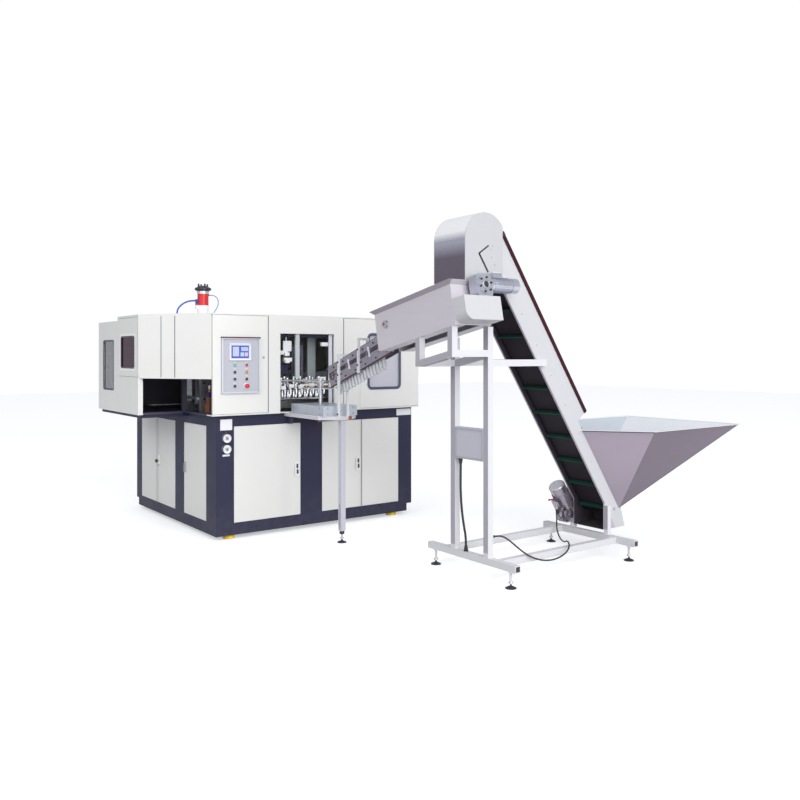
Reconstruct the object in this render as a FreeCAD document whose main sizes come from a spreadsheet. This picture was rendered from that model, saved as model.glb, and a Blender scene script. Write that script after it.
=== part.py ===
"""Blow moulding machine with its preform line: base cabinet, guarded moulding cell, infeed chute,
unscrambler trough, inclined cleated elevator and hopper.  Millimetres, +Z up, floor at Z = 0.
The origin is the middle of the levelling pad under the near left corner of the base; X runs along
the machine's front and Y from the front to the back."""
import FreeCAD, Part
import math
import os
import Sketcher
from FreeCAD import Placement, Rotation, Vector
from types import SimpleNamespace

os.makedirs("parts", exist_ok=True)
doc = FreeCAD.newDocument("blow_moulding_machine")
sheet = doc.addObject("Spreadsheet::Sheet", "sizes")

DRIVING_SIZES = {
    # base cabinet
    "pad_inset_x": 150, "pad_inset_y": 70, "pad_height": 35, "pad_radius": 52,
    "base_length": 2150, "base_depth": 2050, "body_bottom": 110, "base_top": 1100,
    "plinth_setback": 60, "member_depth": 60, "deck_thickness": 20, "panel_sheet": 4,
    "front_post_left": 168, "front_door_width": 678, "front_post_middle": 232, "front_post_right": 165,
    "side_post_near": 214, "side_door_width": 517, "side_post_middle": 221, "side_post_far": 156,
    "door_bottom": 140, "door_top": 1000, "door_gap": 3, "door_depth": 20, "door_skin": 2,
    "pin_radius": 3.5, "pin_inset": 6, "pin_reach": 8, "fit_clearance": 0.05, "seat_gap": 0.3,
    "handle_height": 100, "handle_width": 24, "handle_depth": 12, "handle_inset": 38, "handle_level": 575,
    "gauge_radius": 38, "gauge_depth": 24,
    # moulding cabinet on top of the base
    "cabinet_overhang": 60, "cabinet_top": 2000, "cabinet_depth": 1850, "panel_thickness": 20,
    "strip_height": 12, "control_door_width": 536, "infeed_left": 450, "infeed_right": 1030,
    "infeed_top": 1830, "window_door_left": 1137, "right_overhang": 50, "notch_width": 187,
    "notch_top": 1450,
    "window_left": 1430, "window_width": 370, "window_bottom": 1310, "window_height": 520,
    "window_corner": 28, "pane_thickness": 5, "corner_post": 40,
    # operator's console on the control door
    "console_left": -131, "console_width": 363, "console_bottom": 1297, "console_height": 486,
    "console_depth": 15, "screen_left": -61, "screen_width": 203, "screen_bottom": 1586,
    "screen_height": 148, "screen_depth": 8, "button_left": -9, "button_pitch_x": 113,
    "button_top_row": 1545, "button_pitch_z": 62, "button_radius": 11, "button_collar": 17,
    "collar_depth": 4, "button_proud": 8, "button_seat": 6, "mushroom_radius": 21,
    # hood on the left side
    "hood_reach": 420, "hood_turn": 540, "hood_split": 1100, "hood_back": 1720, "hood_sill": 1435,
    "hood_floor": 1090, "hood_far_top": 1960, "hood_window_left": 636, "hood_window_width": 392,
    "hood_window_bottom": 1508, "hood_window_height": 302, "side_window_near": 1227,
    "side_window_width": 350, "side_window_bottom": 1288, "side_window_height": 493,
    # mould clamp, stretch cylinder and oven inside
    "clamp_x": 26, "clamp_y": 630, "platen_width": 320, "platen_bottom": 1180, "platen_height": 380,
    "platen_thickness": 40, "plate_top": 1640, "mould_width": 220, "mould_bottom": 1200,
    "mould_height": 320, "mould_thickness": 80,
    "mould_opening": 110, "tie_bar_radius": 16, "tie_bar_offset": 132, "bottle_radius": 58, "bottle_height": 230,
    "bottle_neck_radius": 18, "bridge_thickness": 30, "cylinder_radius": 52, "cylinder_top": 2241,
    "cap_radius": 78, "cap_height": 54,
    "rod_radius": 10, "rod_tip": 1530, "rod_length": 430,
    "chain_links_per_side": 9, "sprocket_teeth": 8, "sprocket_radius": 160, "chain_left": 420,
    "chain_y": 790, "chain_level": 1160, "chain_plate": 8, "link_width": 26, "mandrel_radius": 14,
    "mandrel_height": 30, "spindle_radius": 15,
    "oven_left": 640, "oven_length": 760, "oven_height": 300, "lamp_radius": 6, "lamp_count": 6,
    # infeed star wheel, table, leg and chute
    "line_x": 717, "star_y": -390, "star_radius": 165, "star_pockets": 8, "star_level": 1330,
    "star_plate": 8, "star_gap": 60, "pocket_radius": 19, "table_thickness": 30, "table_half": 195,
    "table_reach": 720, "table_cut": 115, "leg_tube": 46, "leg_y": -755, "leg_bottom": 103,
    "case_half": 175, "case_height": 90, "case_near": -730, "case_far": -170,
    "chute_slope": 18.9, "chute_height": 190, "chute_gap": 64, "chute_plate": 5, "chute_low_y": -634,
    "chute_low_z": 1343, "lip_thickness": 4, "lip_gap": 35, "preform_pitch": 48,
    "preform_count": 16, "preform_radius": 16, "preform_length": 92, "neck_radius": 22,
    # unscrambler trough
    "trough_slope": 11.2, "trough_width": 340, "trough_height": 290,
    "trough_length": 935, "trough_low_y": -1553, "trough_low_z": 1662, "trough_sheet": 4,
    "flare": 30, "roller_radius": 25, "roller_gap": 38, "roller_level": 62, "drive_box_depth": 130,
    "drive_box_height": 172, "gearbox_size": 165, "motor_radius": 50, "motor_length": 210,
    # inclined elevator
    "elevator_y": -2230, "tail_x": 2346.758, "tail_z": 357.535, "incline": 56, "drum_distance": 2530,
    "drum_radius": 38, "belt_thickness": 4, "belt_half_width": 145, "cleat_height": 34,
    "cleat_thickness": 5, "cleat_count": 22, "plate_half_gap": 156, "guard_sheet": 4,
    "channel_thickness": 16, "channel_depth": 78, "guard_height": 171, "low_guard_height": 48,
    "low_guard_length": 875, "boot_reach": 32, "head_overrun": 90, "shaft_radius": 12, "hood_radius": 196,
    "discharge_bottom": 2160, "cover_sheet": 3,
    # hopper
    "rim_level": 1030, "rim_half_width": 590, "rim_near_x": 2300, "rim_far_x": 3480, "rim_lip": 26,
    "hopper_sheet": 3,
    # stand
    "stand_tube": 50, "stand_x": 910, "rear_setback": 137, "stand_level": 170, "stand_half": 485,
    "post_half": 183, "bar_half": 285, "foot_half": 415, "disc_radius": 40, "disc_height": 12,
    "stud_radius": 7, "rear_post_tube": 40, "brace_level": 1600, "control_plate_bottom": 860,
    "control_plate_height": 235,
    # cables and hoses
    "motor_cable_radius": 6, "supply_cable_radius": 9, "hose_radius": 8, "air_line_radius": 4.5,
}
for row, (alias, number) in enumerate(DRIVING_SIZES.items(), start=1):
    sheet.set("A%d" % row, alias)
    sheet.set("B%d" % row, str(number))
    sheet.setAlias("B%d" % row, alias)
doc.recompute()


class Size:
    """A number together with the sheet expression that gives it."""

    def __init__(self, text, value):
        self.text, self.value = text, value

    def __add__(self, other):
        return joined(self, "+", other, self.value + number_of(other))

    def __sub__(self, other):
        return joined(self, "-", other, self.value - number_of(other))

    def __mul__(self, other):
        return joined(self, "*", other, self.value * number_of(other))

    def __truediv__(self, other):
        return joined(self, "/", other, self.value / number_of(other))

    def __radd__(self, other):
        return sized(other) + self

    def __rsub__(self, other):
        return sized(other) - self

    def __rmul__(self, other):
        return sized(other) * self

    def __neg__(self):
        return sized(0) - self


def number_of(thing):
    return thing.value if isinstance(thing, Size) else float(thing)


def sized(thing):
    return thing if isinstance(thing, Size) else Size("(%r)" % float(thing), float(thing))


def joined(one, sign, other, value):
    return Size("(%s %s %s)" % (sized(one).text, sign, sized(other).text), value)


def cosine(angle):
    return Size("cos(%s)" % angle.text, math.cos(math.radians(angle.value)))


def sine(angle):
    return Size("sin(%s)" % angle.text, math.sin(math.radians(angle.value)))


s = SimpleNamespace(**{alias: Size("sizes." + alias, float(number)) for alias, number in DRIVING_SIZES.items()})
nodes = []


def bind(thing, prop, value):
    """Set a property from a size, so that the sheet goes on driving it."""
    value = sized(value)
    setattr(thing, prop, value.value)
    if "sizes." in value.text:
        thing.setExpression(prop, value.text)


def place(thing, at, axis=(0, 0, 1), angle=0):
    """Put a thing at a point, turned about an axis through it."""
    at = [sized(value) for value in at]
    turn = Rotation(Vector(*axis), number_of(angle))
    thing.Placement = Placement(Vector(*[value.value for value in at]), turn)
    for letter, value in zip("xyz", at):
        if "sizes." in value.text:
            thing.setExpression("Placement.Base." + letter, value.text)
    if isinstance(angle, Size):
        thing.setExpression("Placement.Rotation.Angle", angle.text)
    return thing


def block(low, high, name="block"):
    """A rectangular block from its lowest to its highest corner."""
    thing = doc.addObject("Part::Box", name)
    for prop, start, end in zip(("Length", "Width", "Height"), low, high):
        bind(thing, prop, sized(end) - start)
    return place(thing, low)


ROD_TURNS = {"x": ((0, 1, 0), 90), "y": ((1, 0, 0), -90), "z": ((0, 0, 1), 0)}


def rod(start, radius, length, along="z", name="rod"):
    """A round bar from a point along +X, +Y or +Z."""
    thing = doc.addObject("Part::Cylinder", name)
    bind(thing, "Radius", radius)
    bind(thing, "Height", length)
    return place(thing, start, *ROD_TURNS[along])


def cut(base, tools, name="cut"):
    thing = doc.addObject("Part::Cut", name)
    thing.Base = base
    thing.Tool = tools[0] if len(tools) == 1 else group(tools)
    return thing


def fuse(members, name="fused"):
    thing = doc.addObject("Part::MultiFuse", name)
    thing.Shapes = members
    thing.Refine = True
    return thing


def group(members, name="group"):
    """Members that butt face to face and are welded or screwed together."""
    thing = doc.addObject("Part::Compound", name)
    thing.Links = members
    return thing


def rounded(low, high, radius, along, name="window", only=None):
    """A block whose edges along one axis are rounded: all four, or those that a test of the middle picks."""
    base = block(low, high, name + "_block")
    doc.recompute()
    thing = doc.addObject("Part::Fillet", name)
    thing.Base = base
    direction = {"x": Vector(1, 0, 0), "y": Vector(0, 1, 0), "z": Vector(0, 0, 1)}[along]
    picked = [index for index, edge in enumerate(base.Shape.Edges, start=1)
              if abs(abs(edge.tangentAt(edge.FirstParameter).dot(direction)) - 1) < 1e-6
              and (only is None or only(edge.CenterOfMass))]
    thing.Edges = [(index, number_of(radius), number_of(radius)) for index in picked]
    return thing


PAD_AWAY = {"XY_Plane": False, "XZ_Plane": True, "YZ_Plane": False}


def outline(body, plane, corners):
    """A closed polygon sketched on one of the body's planes, each corner bound to its sizes."""
    sketch = body.newObject("Sketcher::SketchObject", body.Name + "_outline")
    face = next(part for part in body.Origin.OriginFeatures if part.Role == plane)
    sketch.AttachmentSupport = (face, [""])
    sketch.MapMode = "FlatFace"
    points = [Vector(number_of(u), number_of(v), 0) for u, v in corners]
    for start, end in zip(points, points[1:] + points[:1]):
        sketch.addGeometry(Part.LineSegment(start, end))
    for index, corner in enumerate(corners):
        follower = (index + 1) % len(corners)
        sketch.addConstraint(Sketcher.Constraint("Coincident", index, 2, follower, 1))
        for kind, value in zip(("DistanceX", "DistanceY"), corner):
            value = sized(value)
            made = sketch.addConstraint(Sketcher.Constraint(kind, -1, 1, index, 1, value.value))
            if "sizes." in value.text:
                sketch.setExpression("Constraints[%d]" % made, value.text)
    return sketch


def padded(name, plane, corners, length):
    """A body made by padding a polygon towards +X, +Y or +Z."""
    body = doc.addObject("PartDesign::Body", name)
    pad = body.newObject("PartDesign::Pad", name + "_pad")
    pad.Profile = outline(body, plane, corners)
    bind(pad, "Length", length)
    pad.Reversed = PAD_AWAY[plane]
    body.Tip = pad
    return body


def turned(name, corners):
    """A body turned about its own Z axis from an outline of (radius, height) corners."""
    body = doc.addObject("PartDesign::Body", name)
    sketch = outline(body, "XZ_Plane", corners)
    turn = body.newObject("PartDesign::Revolution", name + "_turn")
    turn.Profile = sketch
    turn.ReferenceAxis = (sketch, ["V_Axis"])
    turn.Angle = 360
    body.Tip = turn
    return body


def carved(name, shape, at=(0, 0, 0), axis=(0, 0, 1), angle=0):
    """A shape made directly from the sizes."""
    thing = doc.addObject("Part::Feature", name)
    thing.Shape = shape
    return place(thing, at, axis, angle)


def node(label, thing):
    thing.Label = label
    nodes.append(thing)
    return thing


# --- Base cabinet: a welded navy frame of butted members on levelling pads ---
base_left = -s.pad_inset_x
base_front = -s.pad_inset_y
base_right = base_left + s.base_length
base_back = base_front + s.base_depth
left_in = base_left + s.member_depth
front_in = base_front + s.member_depth
right_in = base_right - s.member_depth
back_in = base_back - s.member_depth
door_1 = base_left + s.front_post_left
door_1_end = door_1 + s.front_door_width
door_2 = door_1_end + s.front_post_middle
door_3_end = base_right - s.front_post_right
front_pair_width = door_3_end - door_2
side_1 = base_front + s.side_post_near
side_1_end = side_1 + s.side_door_width
side_2 = side_1_end + s.side_post_middle
side_3_end = base_back - s.side_post_far
side_pair_width = side_3_end - side_2
hood_left = base_left - s.cabinet_overhang - s.hood_reach
cabinet_left = base_left - s.cabinet_overhang
cabinet_front = base_front - s.cabinet_overhang
cabinet_right = base_right + s.right_overhang
cabinet_back = cabinet_front + s.cabinet_depth
pin_bore = s.pin_radius + s.fit_clearance


def pin_bores(spots, level, reach):
    """Bores for hinge pins, at (x, y) spots, from a level along +Z."""
    return [rod((x, y, level), pin_bore, reach, name="pin_bore") for x, y in spots]


front_pins = [(door_1 + s.door_gap + s.pin_inset, base_front + s.pin_inset),
              (door_2 + s.door_gap + s.pin_inset, base_front + s.pin_inset),
              (door_3_end - s.door_gap - s.pin_inset, base_front + s.pin_inset)]
side_pins = [(base_left + s.pin_inset, side_1 + s.door_gap + s.pin_inset),
             (base_left + s.pin_inset, side_2 + s.door_gap + s.pin_inset),
             (base_left + s.pin_inset, side_3_end - s.door_gap - s.pin_inset)]
lower_reach = s.door_bottom - s.pin_reach


def rail_pair(low, high, pins):
    """The bottom and top rails of one side, bored for the door pins."""
    made = []
    for start, end in ((s.body_bottom, s.door_bottom), (s.door_top, s.base_top)):
        rail = block((low[0], low[1], start), (high[0], high[1], end), "rail")
        if pins:
            level = lower_reach if end is s.door_bottom else s.door_top
            rail = cut(rail, pin_bores(pins, level, s.pin_reach), "bored_rail")
        made.append(rail)
    return made


frame = rail_pair((base_left, base_front), (base_right, front_in), front_pins)
frame += rail_pair((base_left, front_in), (left_in, back_in), side_pins)
frame += rail_pair((right_in, front_in), (base_right, back_in), [])
frame += rail_pair((base_left, back_in), (base_right, base_back), [])
for start, end in ((base_left, door_1), (door_1_end, door_2), (door_3_end, base_right)):
    frame.append(block((start, base_front, s.door_bottom), (end, front_in, s.door_top), "front_post"))
for start, end in ((front_in, side_1), (side_1_end, side_2), (side_3_end, back_in)):
    frame.append(block((base_left, start, s.door_bottom), (left_in, end, s.door_top), "side_post"))
rear_mid = (base_left + base_right) / 2
for start, end in ((base_left, left_in), (rear_mid - s.member_depth / 2, rear_mid + s.member_depth / 2),
                   (right_in, base_right)):
    frame.append(block((start, back_in, s.door_bottom), (end, base_back, s.door_top), "rear_post"))
frame.append(block((right_in, front_in, s.door_bottom),
                   (base_right, front_in + s.member_depth, s.door_top), "right_post"))
chain_right = s.chain_left + s.chain_links_per_side * 2 * s.sprocket_radius * sine(sized(180) / s.sprocket_teeth)
deck = block((left_in, front_in, s.base_top - s.deck_thickness), (right_in, back_in, s.base_top), "deck")
frame.append(cut(deck, [rod((x, s.chain_y, s.base_top - s.deck_thickness - 1), s.spindle_radius + s.fit_clearance,
                            s.deck_thickness + 2, name="spindle_bore") for x in (s.chain_left, chain_right)],
                 "bored_deck"))
frame.append(block((left_in, front_in, s.body_bottom), (right_in, back_in, s.body_bottom + s.panel_sheet),
                   "floor_plate"))
for side in (-1, 1):
    rail_y = s.chain_y + side * s.sprocket_radius
    frame.append(block((s.chain_left, rail_y - 9, s.base_top), (chain_right, rail_y + 9, s.chain_level), "chain_rail"))
plinth_right = base_right - s.plinth_setback
plinth_back = base_back - s.plinth_setback
frame += [
    block((base_left, base_front, s.pad_height), (plinth_right, front_in, s.body_bottom), "plinth_front"),
    block((base_left, plinth_back - s.member_depth, s.pad_height), (plinth_right, plinth_back, s.body_bottom),
          "plinth_back"),
    block((base_left, front_in, s.pad_height), (left_in, plinth_back - s.member_depth, s.body_bottom),
          "plinth_left"),
    block((plinth_right - s.member_depth, front_in, s.pad_height),
          (plinth_right, plinth_back - s.member_depth, s.body_bottom), "plinth_right"),
    block((hood_left + s.member_depth / 2, s.hood_turn + s.panel_thickness, s.hood_floor - 30),
          (base_left, s.hood_back - s.panel_thickness, s.hood_floor), "hood_outrigger")]
node("base_frame", group(frame, "base_frame"))

panels = [
    block((left_in + s.door_gap, base_back - s.panel_sheet, s.door_bottom + s.seat_gap),
          (rear_mid - s.member_depth / 2 - s.door_gap, base_back, s.door_top - s.seat_gap), "rear_panel"),
    block((rear_mid + s.member_depth / 2 + s.door_gap, base_back - s.panel_sheet, s.door_bottom + s.seat_gap),
          (right_in - s.door_gap, base_back, s.door_top - s.seat_gap), "rear_panel"),
    block((base_right - s.panel_sheet, front_in + s.member_depth + s.door_gap, s.door_bottom + s.seat_gap),
          (base_right, back_in - s.door_gap, s.door_top - s.seat_gap), "right_panel"),
    block((base_right - 190, base_front - 2, 1018), (base_right - 8, base_front, 1082), "blank_plate")]
node("base_fixed_panels", group(panels, "base_fixed_panels"))

pad_spots = [(0, 0), (plinth_right - s.pad_inset_x, 0), (0, plinth_back - s.pad_inset_y),
             (plinth_right - s.pad_inset_x, plinth_back - s.pad_inset_y)]
pads = []
for x, y in pad_spots:
    pad = turned("pad", [(0, 0), (s.pad_radius, 0), (s.pad_radius, s.pad_height / 2),
                         (s.pad_radius * 0.8, s.pad_height), (0, s.pad_height)])
    pads.append(place(pad, (x, y, 0)))
node("levelling_pads", group(pads, "levelling_pads"))


def door(label, width, height, at, quarter_turn, hinge_low, handle_at=None):
    """A folded tray leaf: face in its local XZ plane, hollow towards +Y, hinge pins at top and bottom.
    hinge_low puts the pins at local x = 0, otherwise at the far edge."""
    face = block((0, 0, 0), (width, s.door_depth, height), "leaf")
    hollow = block((s.door_skin, s.door_skin, s.door_skin),
                   (width - s.door_skin, s.door_depth + 1, height - s.door_skin), "leaf_hollow")
    tray = cut(face, [hollow], "tray")
    pin_x = s.pin_inset if hinge_low else width - s.pin_inset
    reach = s.door_gap + s.pin_reach - s.seat_gap
    pieces = [tray,
              rod((pin_x, s.pin_inset, -reach), s.pin_radius, reach + s.door_skin, name="lower_pin"),
              rod((pin_x, s.pin_inset, height - s.door_skin), s.pin_radius, reach + s.door_skin,
                  name="upper_pin")]
    if handle_at is not None:
        handle_low = s.handle_level - s.door_bottom - s.handle_height / 2
        pieces.append(rounded((handle_at - s.handle_width / 2, -s.handle_depth, handle_low),
                              (handle_at + s.handle_width / 2, s.door_skin / 2, handle_low + s.handle_height),
                              s.handle_width / 3, "y", "handle"))
    leaf = fuse(pieces, label)
    if quarter_turn:
        place(leaf, at, (0, 0, 1), -90)
    else:
        place(leaf, at)
    return node(label, leaf)


leaf_height = s.door_top - s.door_bottom - 2 * s.door_gap
leaf_level = s.door_bottom + s.door_gap
single_width = s.front_door_width - 2 * s.door_gap
front_leaf_width = front_pair_width / 2 - s.door_gap * 1.5
door("front_door_left", single_width, leaf_height, (door_1 + s.door_gap, base_front, leaf_level),
     False, True, single_width - s.handle_inset)
door("front_door_middle", front_leaf_width, leaf_height, (door_2 + s.door_gap, base_front, leaf_level),
     False, True, front_leaf_width - s.handle_inset)
door("front_door_right", front_leaf_width, leaf_height,
     (door_3_end - s.door_gap - front_leaf_width, base_front, leaf_level), False, False)
side_single_width = s.side_door_width - 2 * s.door_gap
side_leaf_width = side_pair_width / 2 - s.door_gap * 1.5
door("side_door_near", side_single_width, leaf_height, (base_left, side_1_end - s.door_gap, leaf_level),
     True, False, s.handle_inset)
door("side_door_middle", side_leaf_width, leaf_height,
     (base_left, side_2 + s.door_gap + side_leaf_width, leaf_level), True, False, s.handle_inset)
door("side_door_far", side_leaf_width, leaf_height, (base_left, side_3_end - s.door_gap, leaf_level),
     True, True)

gauge_x = base_left + 93
gauges = []
for level in (898, 802):
    dial = turned("gauge", [(0, 0), (s.gauge_radius, 0), (s.gauge_radius, s.gauge_depth),
                            (s.gauge_radius - 5, s.gauge_depth), (s.gauge_radius - 5, s.gauge_depth - 4),
                            (0, s.gauge_depth - 4)])
    gauges.append(place(dial, (gauge_x, base_front, level), (1, 0, 0), 90))
for half_width, level, half_height in ((56, 1017, 48), (34, 747, 8)):
    gauges.append(block((gauge_x - half_width, base_front - 6, level - half_height),
                        (gauge_x + half_width, base_front, level + half_height), "gauge_plate"))
node("pressure_gauges", group(gauges, "pressure_gauges"))

receiver_length = front_pair_width - 107
receiver_end = [(0, 0), (230, 0), (190, 50), (110, 80), (0, 90)]
receiver = rod((door_2, 900, 480), 230, receiver_length, "x", "shell")
receiver_ends = [place(turned("dished_end", receiver_end), (door_2 + receiver_length, 900, 480), (0, 1, 0), 90),
                 place(turned("dished_end", receiver_end), (door_2, 900, 480), (0, 1, 0), -90)]
saddles = [block((door_2 + x, 760, s.body_bottom + s.panel_sheet), (door_2 + x + 40, 1040, 300), "saddle")
           for x in (receiver_length * 0.15, receiver_length * 0.8)]
node("air_receiver", fuse([receiver] + receiver_ends + saddles, "air_receiver"))


# --- Moulding cabinet: butted sheet panels round the working cell, open to the chute and the hood ---
panel_back = cabinet_front + s.panel_thickness
front_low = s.base_top
strip = s.strip_height
control_end = cabinet_left + s.control_door_width
door_pin = s.pin_inset
control_pin = (cabinet_left + s.door_gap + s.pin_inset, cabinet_front + s.pin_inset)
window_pin = (cabinet_right - s.door_gap - s.pin_inset, cabinet_front + s.pin_inset)


def strip_pair(start, end, pin):
    """Header and sill strips above and below a full height door, bored for its pins."""
    sill = block((start, cabinet_front, front_low), (end, panel_back, front_low + strip), "sill")
    header = block((start, cabinet_front, s.cabinet_top - strip), (end, panel_back, s.cabinet_top), "header")
    return [cut(sill, pin_bores([pin], front_low + strip - s.pin_reach, s.pin_reach), "bored_sill"),
            cut(header, pin_bores([pin], s.cabinet_top - strip, s.pin_reach), "bored_header")]


roof_low = s.cabinet_top - strip
hood_roof_low = s.cabinet_top - s.panel_thickness
notch_right = s.window_door_left + s.notch_width
shell = strip_pair(cabinet_left, control_end, control_pin)
shell += strip_pair(s.window_door_left, cabinet_right, window_pin)
shell += [
    block((control_end, cabinet_front, front_low), (s.infeed_left, panel_back, s.cabinet_top), "infeed_jamb"),
    block((s.infeed_left, cabinet_front, s.infeed_top), (s.infeed_right, panel_back, s.cabinet_top),
          "infeed_header"),
    block((s.infeed_right, cabinet_front, front_low), (s.window_door_left, panel_back, s.cabinet_top),
          "infeed_right_panel"),
    block((s.window_door_left, cabinet_front, front_low + strip), (notch_right, panel_back, s.notch_top),
          "notch_panel"),
    block((cabinet_right - s.panel_thickness, panel_back + s.door_gap, s.base_top),
          (cabinet_right, cabinet_back, roof_low), "right_panel"),
    block((cabinet_left, cabinet_back - s.panel_thickness, s.base_top),
          (cabinet_right - s.panel_thickness, cabinet_back, roof_low), "back_panel"),
    block((cabinet_left + s.panel_thickness, panel_back + s.door_gap, front_low + strip),
          (cabinet_left + s.panel_thickness + s.corner_post, panel_back + s.door_gap + s.corner_post, roof_low),
          "corner_post"),
    block((cabinet_left, s.hood_turn, front_low + strip),
          (cabinet_left + s.corner_post, s.hood_turn + s.corner_post, roof_low), "side_post"),
    block((cabinet_left, panel_back, front_low), (cabinet_right - s.panel_thickness, front_in, front_low + strip),
          "front_sole"),
    block((cabinet_left, front_in, front_low),
          (base_left + 10, cabinet_back - s.panel_thickness, front_low + strip), "left_sole"),
    block((right_in, front_in, front_low),
          (cabinet_right - s.panel_thickness, cabinet_back - s.panel_thickness, front_low + strip), "right_sole"),
    block((s.infeed_left + 172, panel_back, s.star_level + 90),
          (s.infeed_left + 212, panel_back + s.panel_thickness, roof_low), "guard_bar"),
]
roof = block((cabinet_left, panel_back, roof_low), (cabinet_right, cabinet_back, s.cabinet_top), "roof")
shell.append(cut(roof, [rod((s.clamp_x, s.clamp_y, roof_low - 1), s.cylinder_radius + 12,
                            s.panel_thickness + 2, name="cylinder_hole")], "bored_roof"))
air_line_end = (140, 642)
shell.append(rod((air_line_end[0], air_line_end[1], s.cabinet_top), 8, 8, name="air_line_gland"))
node("cabinet_shell", group(shell, "cabinet_shell"))


def panel_door(label, pieces, cutters, pins, low, high):
    """A cabinet door: a thick panel with cut-outs and a pin above and below."""
    reach = s.door_gap + s.pin_reach - s.seat_gap
    rods = [rod((pins[0], pins[1], low - reach), s.pin_radius, reach + s.door_depth, name="lower_pin"),
            rod((pins[0], pins[1], high - s.door_depth), s.pin_radius, reach + s.door_depth, name="upper_pin")]
    base = pieces[0] if len(pieces) == 1 else fuse(pieces, label + "_panel")
    if cutters:
        base = cut(base, cutters, label + "_cut")
    return node(label, fuse([base] + rods, label))


door_low = front_low + strip + s.door_gap
door_high = s.cabinet_top - strip - s.door_gap
panel_door("control_door",
           [block((cabinet_left + s.door_gap, cabinet_front, door_low),
                  (control_end - s.door_gap, panel_back, door_high), "control_leaf")],
           [], control_pin, door_low, door_high)
window_right = s.window_left + s.window_width
window_top = s.window_bottom + s.window_height
panel_door("window_door",
           [block((notch_right + s.door_gap, cabinet_front, door_low),
                  (cabinet_right - s.door_gap, panel_back, door_high), "window_leaf"),
            block((s.window_door_left + s.door_gap, cabinet_front, s.notch_top + s.door_gap),
                  (cabinet_right - s.door_gap, panel_back, door_high), "window_leaf_top")],
           [rounded((s.window_left, cabinet_front - 1, s.window_bottom), (window_right, panel_back + 1, window_top),
                    s.window_corner, "y")],
           window_pin, door_low, door_high)


def pane(label, low, high, along):
    return node(label, rounded(low, high, s.window_corner - s.seat_gap, along, label))


pane("window_door_pane",
     (s.window_left + s.seat_gap, panel_back - s.pane_thickness * 2, s.window_bottom + s.seat_gap),
     (window_right - s.seat_gap, panel_back - s.pane_thickness, window_top - s.seat_gap), "y")

# --- Operator's console on the control door ---
console_front = cabinet_front - s.console_depth
console_right = s.console_left + s.console_width
console_top = s.console_bottom + s.console_height
bore = s.button_radius + s.fit_clearance
bore_floor = cabinet_front - 3
button_spots = [(s.button_left + s.button_pitch_x * column, s.button_top_row - s.button_pitch_z * line)
                for line in range(4) for column in range(2)]
case = block((s.console_left, console_front, s.console_bottom), (console_right, cabinet_front, console_top),
             "console_case")
collars = [rod((x, console_front - s.collar_depth, z), s.button_collar, s.collar_depth + 2, "y", "collar")
           for x, z in button_spots]
hood_strip = block((s.console_left, console_front - 6, console_top - 10),
                   (console_right, console_front, console_top), "console_brow")
bores = [rod((x, console_front - s.collar_depth - 1, z), bore, bore_floor - console_front + s.collar_depth + 1,
             "y", "button_bore") for x, z in button_spots]
node("control_console", cut(fuse([case, hood_strip] + collars, "console_body"), bores, "control_console"))
screen_right = s.screen_left + s.screen_width
screen_top = s.screen_bottom + s.screen_height
bezel = rounded((s.screen_left, console_front - s.screen_depth, s.screen_bottom),
                (screen_right, console_front, screen_top), 8, "y", "bezel")
glass = block((s.screen_left + 18, console_front - s.screen_depth - 1, s.screen_bottom + 18),
              (screen_right - 18, console_front - s.screen_depth + 2, screen_top - 18), "display_recess")
node("touch_screen", cut(bezel, [glass], "touch_screen"))

button_back = bore_floor - s.button_seat
button_face = console_front - s.collar_depth - s.button_proud


def button(label, spot, cap=None):
    """A round push button in its collar; a cap gives the mushroom head."""
    x, z = spot
    reach = button_back - button_face
    corners = [(0, 0), (s.button_radius, 0), (s.button_radius, reach - 2), (s.button_radius - 2, reach), (0, reach)]
    if cap:
        corners = [(0, 0), (s.button_radius, 0), (s.button_radius, reach), (cap, reach), (cap, reach + 10),
                   (cap * 0.7, reach + 16), (0, reach + 18)]
    thing = turned(label, corners)
    place(thing, (x, button_back, z), (1, 0, 0), 90)
    return node(label, thing)


row_1, row_2, row_3, row_4 = zip(button_spots[0::2], button_spots[1::2])
for label, spot in zip(("green_button", "red_button"), row_1):
    button(label, spot)
for label, spot in zip(("black_button_b", "black_button_c"), row_3):
    button(label, spot)
for label, spot, cap in zip(("black_button_d", "emergency_stop"), row_4, (None, s.mushroom_radius)):
    button(label, spot, cap)
(push_spot, (knob_x, knob_z)) = row_2
button("black_button_a", push_spot)
knob_disc = rod((knob_x, button_face, knob_z), s.button_radius, button_back - button_face, "y", "knob_disc")
knob_grip = block((knob_x - 3, button_face - 9, knob_z - s.button_radius + 1),
                  (knob_x + 3, button_face + 1, knob_z + s.button_radius - 1), "knob_grip")
node("orange_selector", fuse([knob_disc, knob_grip], "orange_selector"))

# --- Hood on the left side: an angled wall of three panels, then a box with two windows ---
near_corner = Vector(number_of(cabinet_left), number_of(panel_back), 0)
turn_corner = Vector(number_of(hood_left), number_of(s.hood_turn), 0)
run = turn_corner - near_corner
inward = Vector(run.y, -run.x, 0).normalize() * number_of(s.panel_thickness)
sill = number_of(s.hood_sill)
tall = number_of(s.cabinet_top) - sill
hood_members = []
for start, end in ((0.0, 0.49), (0.49, 0.68), (0.68, 1.0)):
    slit = 1.5 / run.Length
    a = near_corner + run * (start + (slit if start else 0))
    b = near_corner + run * (end - (slit if end < 1 else 0))
    plan = [a, b, b + inward, a + inward, a]
    wall = Part.Face(Part.makePolygon([point + Vector(0, 0, sill) for point in plan]))
    hood_members.append(carved("angled_panel", wall.extrude(Vector(0, 0, tall - number_of(s.panel_thickness)))))
outer_in = hood_left + s.panel_thickness
roof_plan = [near_corner, turn_corner, Vector(turn_corner.x, number_of(s.hood_split), 0),
             Vector(near_corner.x, number_of(s.hood_split), 0)]
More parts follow.
